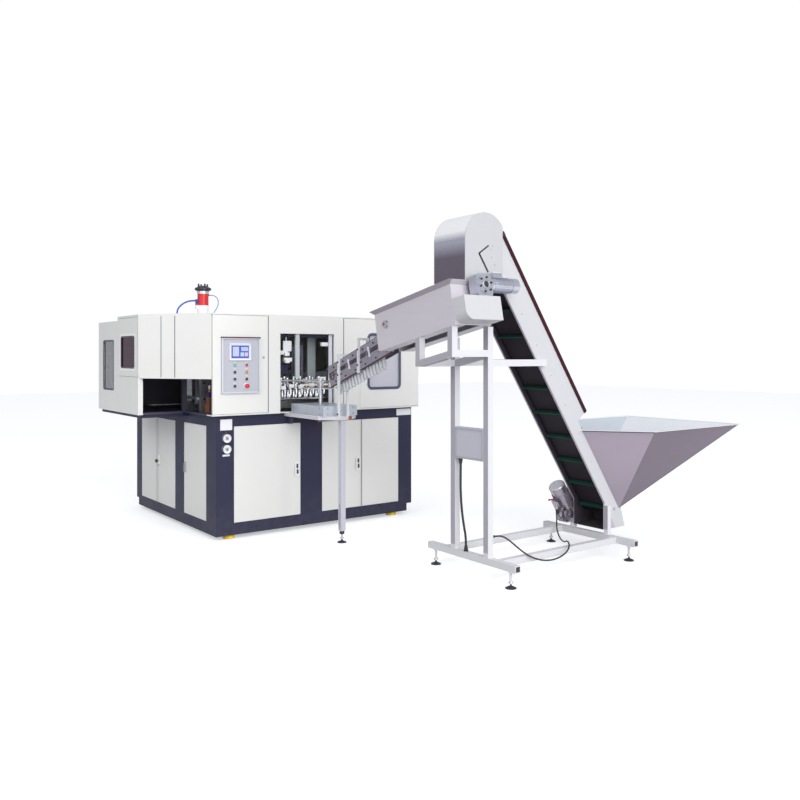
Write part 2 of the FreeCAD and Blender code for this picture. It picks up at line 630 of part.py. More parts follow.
roof_plan = [point + Vector(0, number_of(s.door_gap) if point.y > 1000 else 0, 0) for point in roof_plan]
roof_level = Vector(0, 0, number_of(hood_roof_low))
roof_face = Part.Face(Part.makePolygon([point + roof_level for point in roof_plan + roof_plan[:1]]))
near_roof = carved("near_roof", roof_face.extrude(Vector(0, 0, number_of(s.panel_thickness))))
split_low = s.hood_sill - s.door_gap
far_roof_low = s.hood_far_top - s.panel_thickness
hood_pin = (hood_left + s.pin_inset, s.hood_split - s.door_gap - s.pin_inset)
hood_members.append(cut(near_roof, pin_bores([hood_pin], hood_roof_low, s.pin_reach), "bored_near_roof"))
trim = 12
trim_end = turn_corner - run * 0.02
trim_plan = [near_corner, trim_end, trim_end + inward * (trim / 20), near_corner + inward * (trim / 20)]
trim_face = Part.Face(Part.makePolygon([point + Vector(0, 0, sill - trim) for point in trim_plan + trim_plan[:1]]))
hood_members.append(carved("sill_rail", trim_face.extrude(Vector(0, 0, trim))))
lower_panel = block((hood_left, s.hood_turn, s.hood_floor), (outer_in, s.hood_split, split_low), "lower_panel")
hood_members += [
    cut(lower_panel, pin_bores([hood_pin], split_low - s.pin_reach, s.pin_reach), "bored_lower_panel"),
    block((outer_in, s.hood_turn, s.hood_floor), (outer_in + 24, s.hood_turn + s.panel_thickness, split_low),
          "near_stile"),
    block((outer_in + 24, s.hood_turn, s.hood_floor),
          (cabinet_left, s.hood_turn + s.panel_thickness, s.hood_floor + s.panel_thickness), "near_sill"),
    block((outer_in, s.hood_turn + s.panel_thickness, s.hood_floor),
          (cabinet_left, s.hood_back - s.panel_thickness, s.hood_floor + s.panel_thickness), "hood_floor"),
    block((hood_left, s.hood_back - s.panel_thickness, s.hood_floor), (cabinet_left, s.hood_back, far_roof_low),
          "far_wall"),
    block((hood_left, s.hood_split + s.door_gap, far_roof_low), (cabinet_left, s.hood_back, s.hood_far_top),
          "far_roof"),
    block((hood_left, s.hood_split + s.door_gap, s.hood_far_top),
          (cabinet_left, s.hood_split + s.door_gap + s.panel_thickness, s.cabinet_top), "roof_step"),
    rod((-228.6, 637, s.cabinet_top), 14, 8, name="hose_gland")]
side_wall = block((hood_left, s.hood_split + s.door_gap, s.hood_floor),
                  (outer_in, s.hood_back - s.panel_thickness, far_roof_low), "side_wall")
side_window_end = s.side_window_near + s.side_window_width
side_window_top = s.side_window_bottom + s.side_window_height
hood_members.append(cut(side_wall, [rounded((hood_left - 1, s.side_window_near, s.side_window_bottom),
                                            (outer_in + 1, side_window_end, side_window_top),
                                            s.window_corner, "x")], "side_wall_cut"))
node("hood_shell", group(hood_members, "hood_shell"))
hood_window_end = s.hood_window_left + s.hood_window_width
hood_window_top = s.hood_window_bottom + s.hood_window_height
hood_door_high = hood_roof_low - s.door_gap
panel_door("hood_door",
           [block((hood_left, s.hood_turn + s.panel_thickness + s.door_gap, s.hood_sill),
                  (outer_in, s.hood_split - s.door_gap, hood_door_high), "hood_leaf")],
           [rounded((hood_left - 1, s.hood_window_left, s.hood_window_bottom),
                    (outer_in + 1, hood_window_end, hood_window_top), s.window_corner, "x")],
           hood_pin, s.hood_sill, hood_door_high)
pane("hood_door_pane",
     (outer_in - s.pane_thickness * 2, s.hood_window_left + s.seat_gap, s.hood_window_bottom + s.seat_gap),
     (outer_in - s.pane_thickness, hood_window_end - s.seat_gap, hood_window_top - s.seat_gap), "x")
pane("hood_side_pane",
     (outer_in - s.pane_thickness * 2, s.side_window_near + s.seat_gap, s.side_window_bottom + s.seat_gap),
     (outer_in - s.pane_thickness, side_window_end - s.seat_gap, side_window_top - s.seat_gap), "x")

# --- Mould clamp: two end plates, four tie bars, a sliding platen and a split bottle mould ---
mould_top = s.mould_bottom + s.mould_height
platen_left = s.clamp_x - s.platen_width / 2
platen_right = s.clamp_x + s.platen_width / 2
fixed_face = s.clamp_y + s.seat_gap
fixed_plate = fixed_face + s.mould_thickness
moving_face = s.clamp_y - s.mould_opening
moving_plate = moving_face - s.mould_thickness - s.platen_thickness
front_plate = moving_plate - 100
bar_spots = [(s.clamp_x + side * s.tie_bar_offset, level) for side in (-1, 1) for level in (1230, 1520)]


def cavity(y):
    """The bottle cavity, turned about the mould's vertical axis."""
    body = turned("cavity", [(0, 60), (s.bottle_radius - 10, 60), (s.bottle_radius, 72),
                             (s.bottle_radius, s.bottle_height - 10), (s.bottle_neck_radius, s.bottle_height + 30),
                             (s.bottle_neck_radius, s.mould_height + 1), (0, s.mould_height + 1)])
    return place(body, (s.clamp_x, y, s.mould_bottom))


mould_left = s.clamp_x - s.mould_width / 2
mould_right = s.clamp_x + s.mould_width / 2
bridge_top = s.plate_top + s.bridge_thickness
bridge = block((platen_left, front_plate, s.plate_top),
               (platen_right, fixed_plate + s.platen_thickness, bridge_top), "bridge")
clamp = [
    block((platen_left, front_plate, s.base_top),
          (platen_right, front_plate + s.platen_thickness, s.plate_top), "front_plate"),
    block((platen_left, fixed_plate, s.base_top),
          (platen_right, fixed_plate + s.platen_thickness, s.plate_top), "rear_plate"),
    cut(block((mould_left, fixed_face, s.mould_bottom), (mould_right, fixed_plate, mould_top), "fixed_mould"),
        [cavity(s.clamp_y)], "fixed_mould_half"),
    cut(bridge, [rod((s.clamp_x, s.clamp_y, s.plate_top - 1), s.rod_radius + s.fit_clearance,
                     s.bridge_thickness + 2, name="rod_bore")], "bored_bridge")]
clamp += [rod((x, front_plate + s.platen_thickness, z), s.tie_bar_radius,
              fixed_plate - front_plate - s.platen_thickness, "y", "tie_bar") for x, z in bar_spots]
node("clamp_frame", group(clamp, "clamp_frame"))

platen = block((platen_left, moving_plate, s.platen_bottom),
               (platen_right, moving_plate + s.platen_thickness, s.platen_bottom + s.platen_height), "platen")
bored_platen = cut(platen, [rod((x, moving_plate - 1, z), s.tie_bar_radius + s.fit_clearance,
                                s.platen_thickness + 2, "y", "bar_bore") for x, z in bar_spots], "bored_platen")
moving_mould = cut(block((mould_left, moving_plate + s.platen_thickness, s.mould_bottom),
                         (mould_right, moving_face, mould_top), "moving_mould"),
                   [cavity(s.clamp_y - s.mould_opening)], "moving_mould_half")
node("moving_platen", group([bored_platen, moving_mould], "moving_platen"))

cylinder_height = s.cylinder_top - bridge_top
barrel = turned("cylinder_body", [
    (0, 0), (s.cylinder_radius + 14, 0), (s.cylinder_radius + 14, 16), (s.cylinder_radius, 16),
    (s.cylinder_radius, cylinder_height - 25), (s.cylinder_radius + 3, cylinder_height - 25),
    (s.cylinder_radius + 3, cylinder_height), (s.cap_radius, cylinder_height + 15),
    (s.cap_radius, cylinder_height + 29), (s.cap_radius - 22, cylinder_height + 42),
    (30, cylinder_height + s.cap_height), (0, cylinder_height + s.cap_height)])
place(barrel, (s.clamp_x, s.clamp_y, bridge_top))
knobs = [rod((s.clamp_x + across, s.clamp_y + away, s.cylinder_top + 30), 8, s.cap_height - 12, name="cap_knob")
         for across, away in ((-44, 0), (44, 0), (0, 44), (0, -44))]
hose_port = block((s.clamp_x - s.cylinder_radius - 20, s.clamp_y - 14, 2071),
                  (s.clamp_x - s.cylinder_radius + 10, s.clamp_y + 14, 2164), "hose_port")
air_port = rod((s.clamp_x + s.cylinder_radius - 6, s.clamp_y, 2208), 9, 18, "x", "air_port")
node("stretch_cylinder",
     cut(fuse([barrel, hose_port, air_port] + knobs, "cylinder_outside"),
         [rod((s.clamp_x, s.clamp_y, bridge_top - 1), s.rod_radius + s.fit_clearance, 431, name="rod_guide")],
         "stretch_cylinder"))
rod_body = turned("stretch_rod", [(0, 0), (s.rod_radius - 3, 0), (s.rod_radius, 8), (s.rod_radius, s.rod_length),
                                  (0, s.rod_length)])
node("stretch_rod", place(rod_body, (s.clamp_x, s.clamp_y, s.rod_tip)))

valve_y = 120
valves = [block((-150, valve_y - 40, s.base_top + strip), (190, valve_y + 60, 1190), "manifold")]
for index in range(6):
    left = -142 + index * 55
    valves.append(block((left, valve_y - 20, 1190), (left + 42, valve_y + 44, 1300), "valve_body"))
    valves.append(rod((left + 21, valve_y + 12, 1300), 14, 60, name="valve_coil"))
node("valve_manifold", group(valves, "valve_manifold"))

# --- Preform chain with its mandrels, two sprockets and the lamp oven ---
pitch = 2 * s.sprocket_radius * sine(sized(180) / s.sprocket_teeth)
run_length = s.chain_links_per_side * pitch
half_teeth = int(number_of(s.sprocket_teeth)) // 2
links_per_side = int(number_of(s.chain_links_per_side))
pins = [(s.chain_left + pitch * index, s.chain_y - s.sprocket_radius, 0) for index in range(links_per_side)]
for step in range(half_teeth):
    turn = sized(360) / s.sprocket_teeth * step - 90
    pins.append((chain_right + s.sprocket_radius * cosine(turn), s.chain_y + s.sprocket_radius * sine(turn), 1))
pins += [(chain_right - pitch * index, s.chain_y + s.sprocket_radius, 2) for index in range(links_per_side)]
for step in range(half_teeth):
    turn = sized(360) / s.sprocket_teeth * step + 90
    pins.append((s.chain_left + s.sprocket_radius * cosine(turn), s.chain_y + s.sprocket_radius * sine(turn), 3))
chain = []
for index, (x, y, _) in enumerate(pins):
    next_x, next_y, _ = pins[(index + 1) % len(pins)]
    heading = math.degrees(math.atan2(number_of(next_y) - number_of(y), number_of(next_x) - number_of(x)))
    level = s.chain_level + s.chain_plate * (index % 2)
    link = doc.addObject("Part::Box", "link")
    bind(link, "Length", pitch + s.link_width)
    bind(link, "Width", s.link_width)
    bind(link, "Height", s.chain_plate)
    reach = math.radians(heading)
    half = s.link_width / 2
    place(link, (x - half * math.cos(reach) + half * math.sin(reach),
                 y - half * math.sin(reach) - half * math.cos(reach), level), (0, 0, 1), heading)
    chain.append(link)
    chain.append(rod((x, y, s.chain_level + s.chain_plate * 2), s.mandrel_radius, s.mandrel_height - s.chain_plate,
                     name="mandrel"))
node("mandrel_chain", group(chain, "mandrel_chain"))


def sprocket(label, x):
    """A toothed wheel on a spindle that turns in the deck."""
    rim = s.sprocket_radius * cosine(sized(180) / s.sprocket_teeth) - s.link_width / 2 - 3
    wheel = turned(label + "_wheel", [(0, -80), (s.spindle_radius, -80), (s.spindle_radius, -20), (34, -20), (34, 0),
                                      (rim, 0), (rim, s.chain_plate * 2), (34, s.chain_plate * 2), (34, 34), (0, 34)])
    notches = []
    for tooth in range(int(number_of(s.sprocket_teeth))):
        turn = math.radians(45.0 * tooth)
        notches.append(rod(((rim + 12) * math.cos(turn), (rim + 12) * math.sin(turn), -1), 24,
                           s.chain_plate * 2 + 2, name="notch"))
    notches += [rod((75 * math.cos(math.radians(45 * hole + 22.5)), 75 * math.sin(math.radians(45 * hole + 22.5)), -1),
                    15, s.chain_plate * 2 + 2, name="lightening_hole") for hole in range(0, 8, 2)]
    thing = cut(wheel, notches, label)
    return node(label, place(thing, (x, s.chain_y, s.chain_level)))


sprocket("drive_sprocket", s.chain_left)
sprocket("idler_sprocket", chain_right)

oven_right = s.oven_left + s.oven_length
oven_top = s.chain_level + s.oven_height
front_line = s.chain_y - s.sprocket_radius
oven = [
    block((s.oven_left, front_line - 125, s.base_top), (oven_right, front_line - 115, oven_top), "lamp_backplate"),
    block((s.oven_left, front_line + 70, s.base_top), (oven_right, front_line + 80, oven_top), "reflector"),
    block((s.oven_left, front_line - 125, oven_top), (oven_right, front_line + 80, oven_top + 8), "oven_roof")]
for start in (s.oven_left, oven_right - 8):
    oven.append(block((start, front_line - 115, s.base_top), (start + 8, front_line - 60, oven_top), "lamp_bracket"))
for index in range(int(number_of(s.lamp_count))):
    oven.append(rod((s.oven_left + 8, front_line - 85, s.chain_level + 40 + index * 44), s.lamp_radius,
                    s.oven_length - 16, "x", "lamp"))
node("oven_housing", group(oven, "oven_housing"))

# --- Infeed: table on one leg, gear case, star wheel, sloping chute and its hanging preforms ---
left = s.line_x - s.table_half
right = s.line_x + s.table_half
table_low = s.base_top - s.table_thickness
tip = base_front - s.table_reach
corners = [(left, base_front), (left, tip + s.table_cut), (left + s.table_cut, tip), (right - s.table_cut, tip),
           (right, tip + s.table_cut), (right, base_front)]
table_plate = place(padded("table_plate", "XY_Plane", corners, s.table_thickness), (0, 0, table_low))
case_top = s.base_top + s.case_height
spindle_bore = s.spindle_radius + s.fit_clearance
gear_case = cut(block((s.line_x - s.case_half, s.case_near, s.base_top),
                      (s.line_x + s.case_half, s.case_far, case_top), "gear_case"),
                [rod((s.line_x, s.star_y, case_top - 70), spindle_bore, 80, name="spindle_bore")], "bored_case")
leg_half = s.leg_tube / 2
leg = cut(block((s.line_x - leg_half, s.leg_y - leg_half, s.leg_bottom),
                (s.line_x + leg_half, s.leg_y + leg_half, table_low), "leg_tube"),
          [block((s.line_x - leg_half + 4, s.leg_y - leg_half + 4, s.leg_bottom + 6),
                 (s.line_x + leg_half - 4, s.leg_y + leg_half - 4, table_low - 6), "leg_hollow"),
           block((s.line_x - leg_half - 1, s.leg_y - 5, s.leg_bottom + 30),
                 (s.line_x - leg_half + 5, s.leg_y + 5, s.leg_bottom + 230), "leg_slot")], "leg")
brackets = [block((left + 30 + 300 * side, base_front - 60, table_low - 70),
                  (left + 60 + 300 * side, base_front, table_low), "table_bracket") for side in (0, 1)]
node("infeed_table", group([table_plate, gear_case, leg] + brackets, "infeed_table"))

lower_disc = s.star_level - case_top + 65
upper_disc = lower_disc + s.star_gap
star = turned("star", [(0, 0), (s.spindle_radius, 0), (s.spindle_radius, lower_disc), (s.star_radius, lower_disc),
                       (s.star_radius, lower_disc + s.star_plate), (30, lower_disc + s.star_plate),
                       (30, upper_disc), (s.star_radius, upper_disc), (s.star_radius, upper_disc + s.star_plate),
                       (30, upper_disc + s.star_plate), (30, upper_disc + 30), (0, upper_disc + 30)])
pockets = []
for index in range(int(number_of(s.star_pockets))):
    turn = math.radians(360.0 / number_of(s.star_pockets) * (index + 0.5))
    pockets.append(rod(((s.star_radius + 2) * math.cos(turn), (s.star_radius + 2) * math.sin(turn),
                        s.star_level - case_top + 60), s.pocket_radius, s.star_gap + 30, name="pocket"))
node("star_wheel", place(cut(star, pockets, "star_wheel"), (s.line_x, s.star_y, case_top - 65)))

slope = s.chute_slope
low_y, low_z = s.chute_low_y, s.chute_low_z


def along_chute(back, up):
    """A point of the side view: so far back from the chute's low end, so far square to its bottom edge."""
    return (low_y - back * cosine(slope) + up * sine(slope), low_z + back * sine(slope) + up * cosine(slope))


def chute_bar(x, width, start, end, low, high, name):
    """A straight member of the chute between two distances along it and two heights square to it; an end
    of None meets the trough."""
    ends = [chute_end(up) if end is None else end for up in (low, high)]
    corners = [along_chute(ends[0], low), along_chute(start, low), along_chute(start, high),
               along_chute(ends[1], high)]
    return place(padded(name, "YZ_Plane", corners, width), (x, 0, 0))


def chute_end(up):
    """How far back the chute reaches, at a height square to its bottom edge, to meet the trough's end plate."""
    level = (low_y - s.trough_low_y + up * sine(slope)) * cosine(s.trough_slope)
    drop = (low_z - s.trough_low_z + up * cosine(slope)) * sine(s.trough_slope)
    return (level - drop) / cosine(slope - s.trough_slope)


slot_start, slot_end = 190, 860
slot_low, slot_high = 92, 122
chute_run = chute_end(0)
chute = []
for side in (-1, 1):
    inner = s.chute_gap / 2
    x = s.line_x + inner if side > 0 else s.line_x - inner - s.chute_plate
    chute.append(chute_bar(x, s.chute_plate, 0, None, 0, slot_low, "chute_plate_low"))
    chute.append(chute_bar(x, s.chute_plate, 0, None, slot_high, s.chute_height, "chute_plate_high"))
    chute.append(chute_bar(x, s.chute_plate, 0, slot_start, slot_low, slot_high, "chute_plate_start"))
    chute.append(chute_bar(x, s.chute_plate, slot_end, None, slot_low, slot_high, "chute_plate_end"))
    lip = inner - s.lip_gap / 2
    x = s.line_x + s.lip_gap / 2 if side > 0 else s.line_x - inner
    chute.append(chute_bar(x, lip, 0, None, 4, 4 + s.lip_thickness, "chute_lip"))
    bar_x = s.line_x + inner + s.chute_plate if side > 0 else s.line_x - inner - s.chute_plate - 18
    chute.append(block((bar_x, -785, s.base_top), (bar_x + 18, -765, 1642), "near_hanger"))
    chute.append(block((bar_x, -1093, 1482), (bar_x + 18, -1073, 1776), "far_hanger"))
chute.append(block((s.line_x - s.chute_gap / 2 - s.chute_plate, -785, 1622),
                   (s.line_x + s.chute_gap / 2 + s.chute_plate, -765, 1642), "near_crosspiece"))
chute.append(block((s.line_x - s.chute_gap / 2 - s.chute_plate, -1093, 1756),
                   (s.line_x + s.chute_gap / 2 + s.chute_plate, -1073, 1776), "far_crosspiece"))
node("infeed_chute", group(chute, "infeed_chute"))

preforms = []
for index in range(int(number_of(s.preform_count))):
    y, z = along_chute(70 + index * s.preform_pitch, 4 + s.lip_thickness)
    ring = s.neck_radius
    tube = turned("preform", [(s.preform_radius - 5, -s.preform_length + 16), (s.preform_radius - 4, 18),
                              (s.preform_radius - 1, 18), (s.preform_radius - 1, 3), (ring, 3), (ring, 0),
                              (s.preform_radius, 0), (s.preform_radius, -s.preform_length + 16),
                              (s.preform_radius * 0.6, -s.preform_length), (0, -s.preform_length),
                              (0, -s.preform_length + 6)])
    preforms.append(place(tube, (s.line_x, y, z), (1, 0, 0), -slope))
node("preforms", group(preforms, "preforms"))

# --- Unscrambler trough: sloping walls, flared rim, guide plates and two rollers ---
trough_half = s.trough_width / 2
inner_half = trough_half - s.trough_sheet
back_end = -s.trough_length


def in_trough(thing):
    """Put something drawn in the trough's own frame in its place."""
    return place(thing, (s.line_x, s.trough_low_y, s.trough_low_z), (1, 0, 0), -s.trough_slope)


def hexahedron(low_inner, low_outer, high_inner, high_outer):
    """A mitred panel from its four edges' end points: each argument is a pair of points."""
    a, b = low_inner
    c, d = low_outer
    e, f = high_inner
    g, h = high_outer
    faces = [(a, b, f, e), (c, d, h, g), (a, b, d, c), (e, f, h, g), (a, c, g, e), (b, d, h, f)]
    shell = Part.makeShell([Part.Face(Part.makePolygon(list(face) + [face[0]])) for face in faces])
    solid = Part.makeSolid(shell)
    if solid.Volume < 0:
        solid.reverse()
    return solid


def rectangle(half_x, start_y, end_y, z):
    return [Vector(half_x, start_y, z), Vector(half_x, end_y, z), Vector(-half_x, end_y, z), Vector(-half_x, start_y, z)]


roller_x = s.roller_radius + s.roller_gap / 2
axle = 8
axle_bores = [rod((side * roller_x, back_end - 1, s.roller_level), axle + s.fit_clearance, s.trough_length + 2, "y",
                  "axle_bore") for side in (-1, 1)]
notch = block((-26, -s.trough_sheet - 1, -1), (26, 1, 130), "outlet")
walls = [
    block((-trough_half, back_end, 0), (-inner_half, 0, s.trough_height), "wall"),
    block((inner_half, back_end, 0), (trough_half, 0, s.trough_height), "wall"),
    cut(block((-inner_half, -s.trough_sheet, 0), (inner_half, 0, s.trough_height), "low_end"),
        axle_bores + [notch], "low_end_plate"),
    cut(block((-inner_half, back_end, 0), (inner_half, back_end + s.trough_sheet, s.trough_height), "high_end"),
        axle_bores, "high_end_plate"),
    block((-inner_half, back_end + s.trough_sheet, 0), (-inner_half + 100, -s.trough_sheet, s.trough_sheet), "floor"),
    block((inner_half - 100, back_end + s.trough_sheet, 0), (inner_half, -s.trough_sheet, s.trough_sheet), "floor")]
half, inner, length = number_of(trough_half), number_of(inner_half), number_of(s.trough_length)
rim, flare, skin = number_of(s.trough_height), number_of(s.flare), number_of(s.trough_sheet)
rims = [rectangle(inner, -skin, -length + skin, rim), rectangle(half, 0, -length, rim),
        rectangle(inner + flare, -skin + flare, -length + skin - flare, rim + flare),
        rectangle(half + flare, flare, -length - flare, rim + flare)]
for side in range(4):
    ends = (side, (side + 1) % 4)
    walls.append(carved("flare_panel", hexahedron(*[[ring[end] for end in ends] for ring in rims])))
for side in (-1, 1):
    outer = side * inner_half
    corners = [(outer, 190), (outer, 186), (side * 78, 72), (side * 74, 72)]
    walls.append(place(padded("guide_plate", "XZ_Plane", corners, s.trough_length - 2 * s.trough_sheet),
                       (0, back_end + s.trough_sheet, 0)))
walls.append(rod((-trough_half - 22, -136, 185), 26, 22, "x", "boss"))
node("trough", in_trough(group(walls, "trough")))

for label, side in (("roller_near", -1), ("roller_far", 1)):
    body = rod((0, back_end + 20, 0), s.roller_radius, s.trough_length - 40, "y", "roller_tube")
    spindle = rod((0, back_end - 6, 0), axle, s.trough_length + 5, "y", "roller_axle")
    roller = fuse([body, spindle], label)
    x = s.line_x + side * roller_x
    drop = s.roller_level
    node(label, place(roller, (x, s.trough_low_y + drop * sine(s.trough_slope),
                               s.trough_low_z + drop * cosine(s.trough_slope)), (1, 0, 0), -s.trough_slope))

box_far = back_end - s.drive_box_depth
box_top = s.drive_box_height + 10
cover = rounded((-trough_half, box_far, 10), (trough_half, back_end, box_top), 70, "y", "cover_outside",
                lambda middle: middle.x < 0 and middle.z < number_of(box_top) / 2)
cover_hollow = block((-trough_half + 24, box_far + 3, 32), (trough_half - 3, back_end + 1, box_top - 3), "cover_hollow")
node("roller_drive_cover", in_trough(cut(cover, [cover_hollow], "roller_drive_cover")))
drive_y = back_end - 75
gear_right = 120
motor_level = box_top + 98
upper_gears = rounded((-25, drive_y - 42, box_top), (gear_right, drive_y + 40, box_top + s.gearbox_size), 30, "y",
                      "gear_head")
gear_flange = rod((gear_right / 2 - 12, drive_y - 56, box_top + s.gearbox_size / 2), 66, 30, "y", "gear_flange")
upper_motor = rod((gear_right - 5, drive_y, motor_level), s.motor_radius, s.motor_length, "x", "motor_barrel")
fan_cover = rod((gear_right + s.motor_length - 6, drive_y, motor_level), s.motor_radius + 4, 62, "x", "fan_cover")
terminal_low = motor_level + s.motor_radius - 8
upper_terminals = block((gear_right + 30, drive_y - 34, terminal_low), (gear_right + 115, drive_y + 34, terminal_low + 36),
                        "terminal_box")
node("upper_gearmotor",
     in_trough(fuse([upper_gears, gear_flange, upper_motor, fan_cover, upper_terminals], "upper_gearmotor")))

# --- Elevator: drawn in its own frame, X down the incline, Z square to the belt, origin at the head drum ---
gap_half = s.plate_half_gap
outer_half = gap_half + s.channel_thickness
guard_half = gap_half + s.guard_sheet
shaft_bore = s.shaft_radius + s.fit_clearance
low_edge = -s.channel_depth
channel_end = s.drum_distance - 123
guard_end = s.drum_distance - s.low_guard_length
plate_end = s.drum_distance + s.boot_reach
head_x = s.tail_x - s.drum_distance * cosine(s.incline)
head_z = s.tail_z + s.drum_distance * sine(s.incline)


def in_elevator(thing, y=0):
    """Put something drawn in the elevator's frame in its place."""
    return place(thing, (head_x, s.elevator_y + y, head_z), (0, 1, 0), s.incline)


def both_sides(low, high, inner, outer, name, cutters=None):
    """A pair of side members between two half widths; low and high are (along, up) pairs."""
    made = []
    for near, far in ((-outer, -inner), (inner, outer)):
        piece = block((low[0], near, low[1]), (high[0], far, high[1]), name)
        made.append(cut(piece, [cutters()], name + "_bored") if cutters else piece)
    return made


head_end = 60
channel_start = 22
boot_low = s.drum_distance + 56
boot_far = s.drum_distance + 206
tail_corners = [(channel_end, s.low_guard_height), (channel_end, low_edge), (boot_low, -199), (boot_far, 23),
                (plate_end + 3, 77), (plate_end - 1, 77)]
members = both_sides((-s.head_overrun, -30), (head_end, 60), gap_half, outer_half, "head_bearing",
                     lambda: rod((0, -outer_half - 1, 0), shaft_bore, 2 * outer_half + 2, "y", "head_bore"))
members += both_sides((-s.head_overrun, low_edge), (channel_start - 8, -30), gap_half, outer_half, "head_plate")
members += both_sides((head_end, -30), (channel_end, 0), gap_half, outer_half, "channel_web")
members += both_sides((channel_start, low_edge), (channel_end, -30), gap_half, outer_half, "channel")
members += both_sides((0, 60), (head_end, s.guard_height), gap_half, guard_half, "head_guard")
members += both_sides((head_end, 0), (guard_end, s.guard_height), gap_half, guard_half, "guard")
members += both_sides((guard_end, 0), (channel_end, s.low_guard_height), gap_half, guard_half, "low_guard")
for start in (-guard_half, gap_half):
    plate = place(padded("tail_plate", "XZ_Plane", tail_corners, s.guard_sheet), (0, start, 0))
    members.append(cut(plate, [rod((s.drum_distance, -guard_half - 1, 0), shaft_bore, 2 * guard_half + 2, "y",
                                   "tail_bore")], "tail_plate_bored"))
boot_inner_low = (boot_low - 1.8, -195.4)
boot_inner_far = (boot_far - 3.5, 24.1)
boot = [[(boot_low, -199), (boot_far, 23), boot_inner_far, boot_inner_low],
        [(plate_end + 6, 76.1), (boot_far, 23), boot_inner_far, (plate_end + 6, 72.9)]]
for corners in boot:
    members.append(place(padded("boot_plate", "XZ_Plane", corners, 2 * gap_half), (0, -gap_half, 0)))
members.append(block((70, -gap_half, 28), (s.drum_distance - 70, gap_half, 32), "slider_bed"))
lid_half = guard_half + 3
members.append(block((10, -lid_half, s.guard_height), (guard_end, lid_half, s.guard_height + 3), "top_lid"))
members += both_sides((10, s.guard_height - 21), (guard_end, s.guard_height), guard_half, lid_half, "lid_skirt")
members.append(block((head_end, -gap_half, 150), (head_end + 12, gap_half, s.guard_height), "cover_stiffener"))
for share in (0.2, 0.43, 0.67, 0.89):
    members.append(rod((s.drum_distance * share, -gap_half, -8), 9, 2 * gap_half, "y", "tie_bar"))
node("elevator_frame", in_elevator(group(members, "elevator_frame")))

arc_x, arc_z = number_of(head_x) - 37, number_of(head_z) + 10
arc_r = number_of(s.hood_radius)
tangent = math.radians(90 - number_of(s.incline))


def head_outline(radius, bottom, close_x):
    """Left edge, arc over the head drum and, for a cheek, a straight right edge."""
    start = Vector(arc_x - radius, 0, bottom)
    left_top = Vector(arc_x - radius, 0, arc_z)
    middle_angle = (math.pi + tangent) / 2
    middle = Vector(arc_x + radius * math.cos(middle_angle), 0, arc_z + radius * math.sin(middle_angle))
    end = Vector(arc_x + radius * math.cos(tangent), 0, arc_z + radius * math.sin(tangent))
    return start, left_top, middle, end


outer = head_outline(arc_r + 3, number_of(s.discharge_bottom), None)
inside = head_outline(arc_r, number_of(s.discharge_bottom), None)
cheek_right = Vector(outer[3].x, 0, outer[0].z)
cheek = Part.Face(Part.Wire([
    Part.makeLine(outer[0], outer[1]), Part.Arc(outer[1], outer[2], outer[3]).toShape(),
    Part.makeLine(outer[3], cheek_right), Part.makeLine(cheek_right, outer[0])]))
band = Part.Face(Part.Wire([
    Part.makeLine(outer[0], outer[1]), Part.Arc(outer[1], outer[2], outer[3]).toShape(),
    Part.makeLine(outer[3], inside[3]), Part.Arc(inside[3], inside[2], inside[1]).toShape(),
    Part.makeLine(inside[1], inside[0]), Part.makeLine(inside[0], outer[0])]))
centre_y, wide = number_of(s.elevator_y), number_of(outer_half)
cover = [carved("wrapper", band.extrude(Vector(0, 2 * wide, 0)), (0, centre_y - wide, 0))]
for near in (-outer_half - s.cover_sheet - 1, outer_half):
    sheet_cheek = carved("cheek", cheek.extrude(Vector(0, 4, 0)), (0, centre_y + number_of(near), 0))
    slot = in_elevator(block((channel_start - 8, near - 1, low_edge - 12), (700, near + 6, 0), "channel_slot"))
    cover.append(cut(sheet_cheek, [slot], "slotted_cheek"))
node("head_cover", group(cover, "head_cover"))

belt_in = s.drum_radius + s.seat_gap
belt_out = belt_in + s.belt_thickness
belt_half = s.belt_half_width
belt = [block((0, -belt_half, belt_in), (s.drum_distance, belt_half, belt_out), "carrying_run"),
        block((0, -belt_half, -belt_out), (s.drum_distance, belt_half, -belt_in), "return_run")]
for at, start in ((0, -belt_out - 1), (s.drum_distance, 0)):
    ring = cut(rod((at, -belt_half, 0), belt_out, 2 * belt_half, "y", "belt_bend"),
               [rod((at, -belt_half - 1, 0), belt_in, 2 * belt_half + 2, "y", "belt_inside"),
                block((sized(at) if at == 0 else at - belt_out - 1, -belt_half - 1, -belt_out - 1),
                      (sized(at) + belt_out + 1 if at == 0 else at, belt_half + 1, belt_out + 1), "half")],
               "belt_half_ring")
    belt.append(ring)
cleats_per_run = int(number_of(s.cleat_count)) // 2
cleat_pitch = (2 * s.drum_distance + 2 * math.pi * (s.drum_radius + s.belt_thickness / 2)) / s.cleat_count
for index in range(cleats_per_run):
    at = 58 + cleat_pitch * index
    belt.append(block((at, -belt_half + 5, belt_out),
                      (at + s.cleat_thickness, belt_half - 5, belt_out + s.cleat_height), "cleat"))
    at = s.drum_distance - 58 - cleat_pitch * index
    belt.append(block((at - s.cleat_thickness, -belt_half + 5, -belt_out - s.cleat_height),
                      (at, belt_half - 5, -belt_out), "cleat"))
node("cleated_belt", in_elevator(group(belt, "cleated_belt")))


def drum(label, x, z, near, far):
    """A belt drum with its shaft, from one shaft end to the other."""
    body = rod((0, -belt_half - 4, 0), s.drum_radius, 2 * belt_half + 8, "y", "drum_tube")
    shaft = rod((0, near, 0), s.shaft_radius, far - near, "y", "drum_shaft")
    return node(label, place(fuse([body, shaft], label), (x, s.elevator_y, z)))


drum("head_drum", head_x, head_z, -outer_half + 0.5, outer_half - 0.5)
drum("tail_drum", s.tail_x, s.tail_z, -guard_half - 6, guard_half + 70)

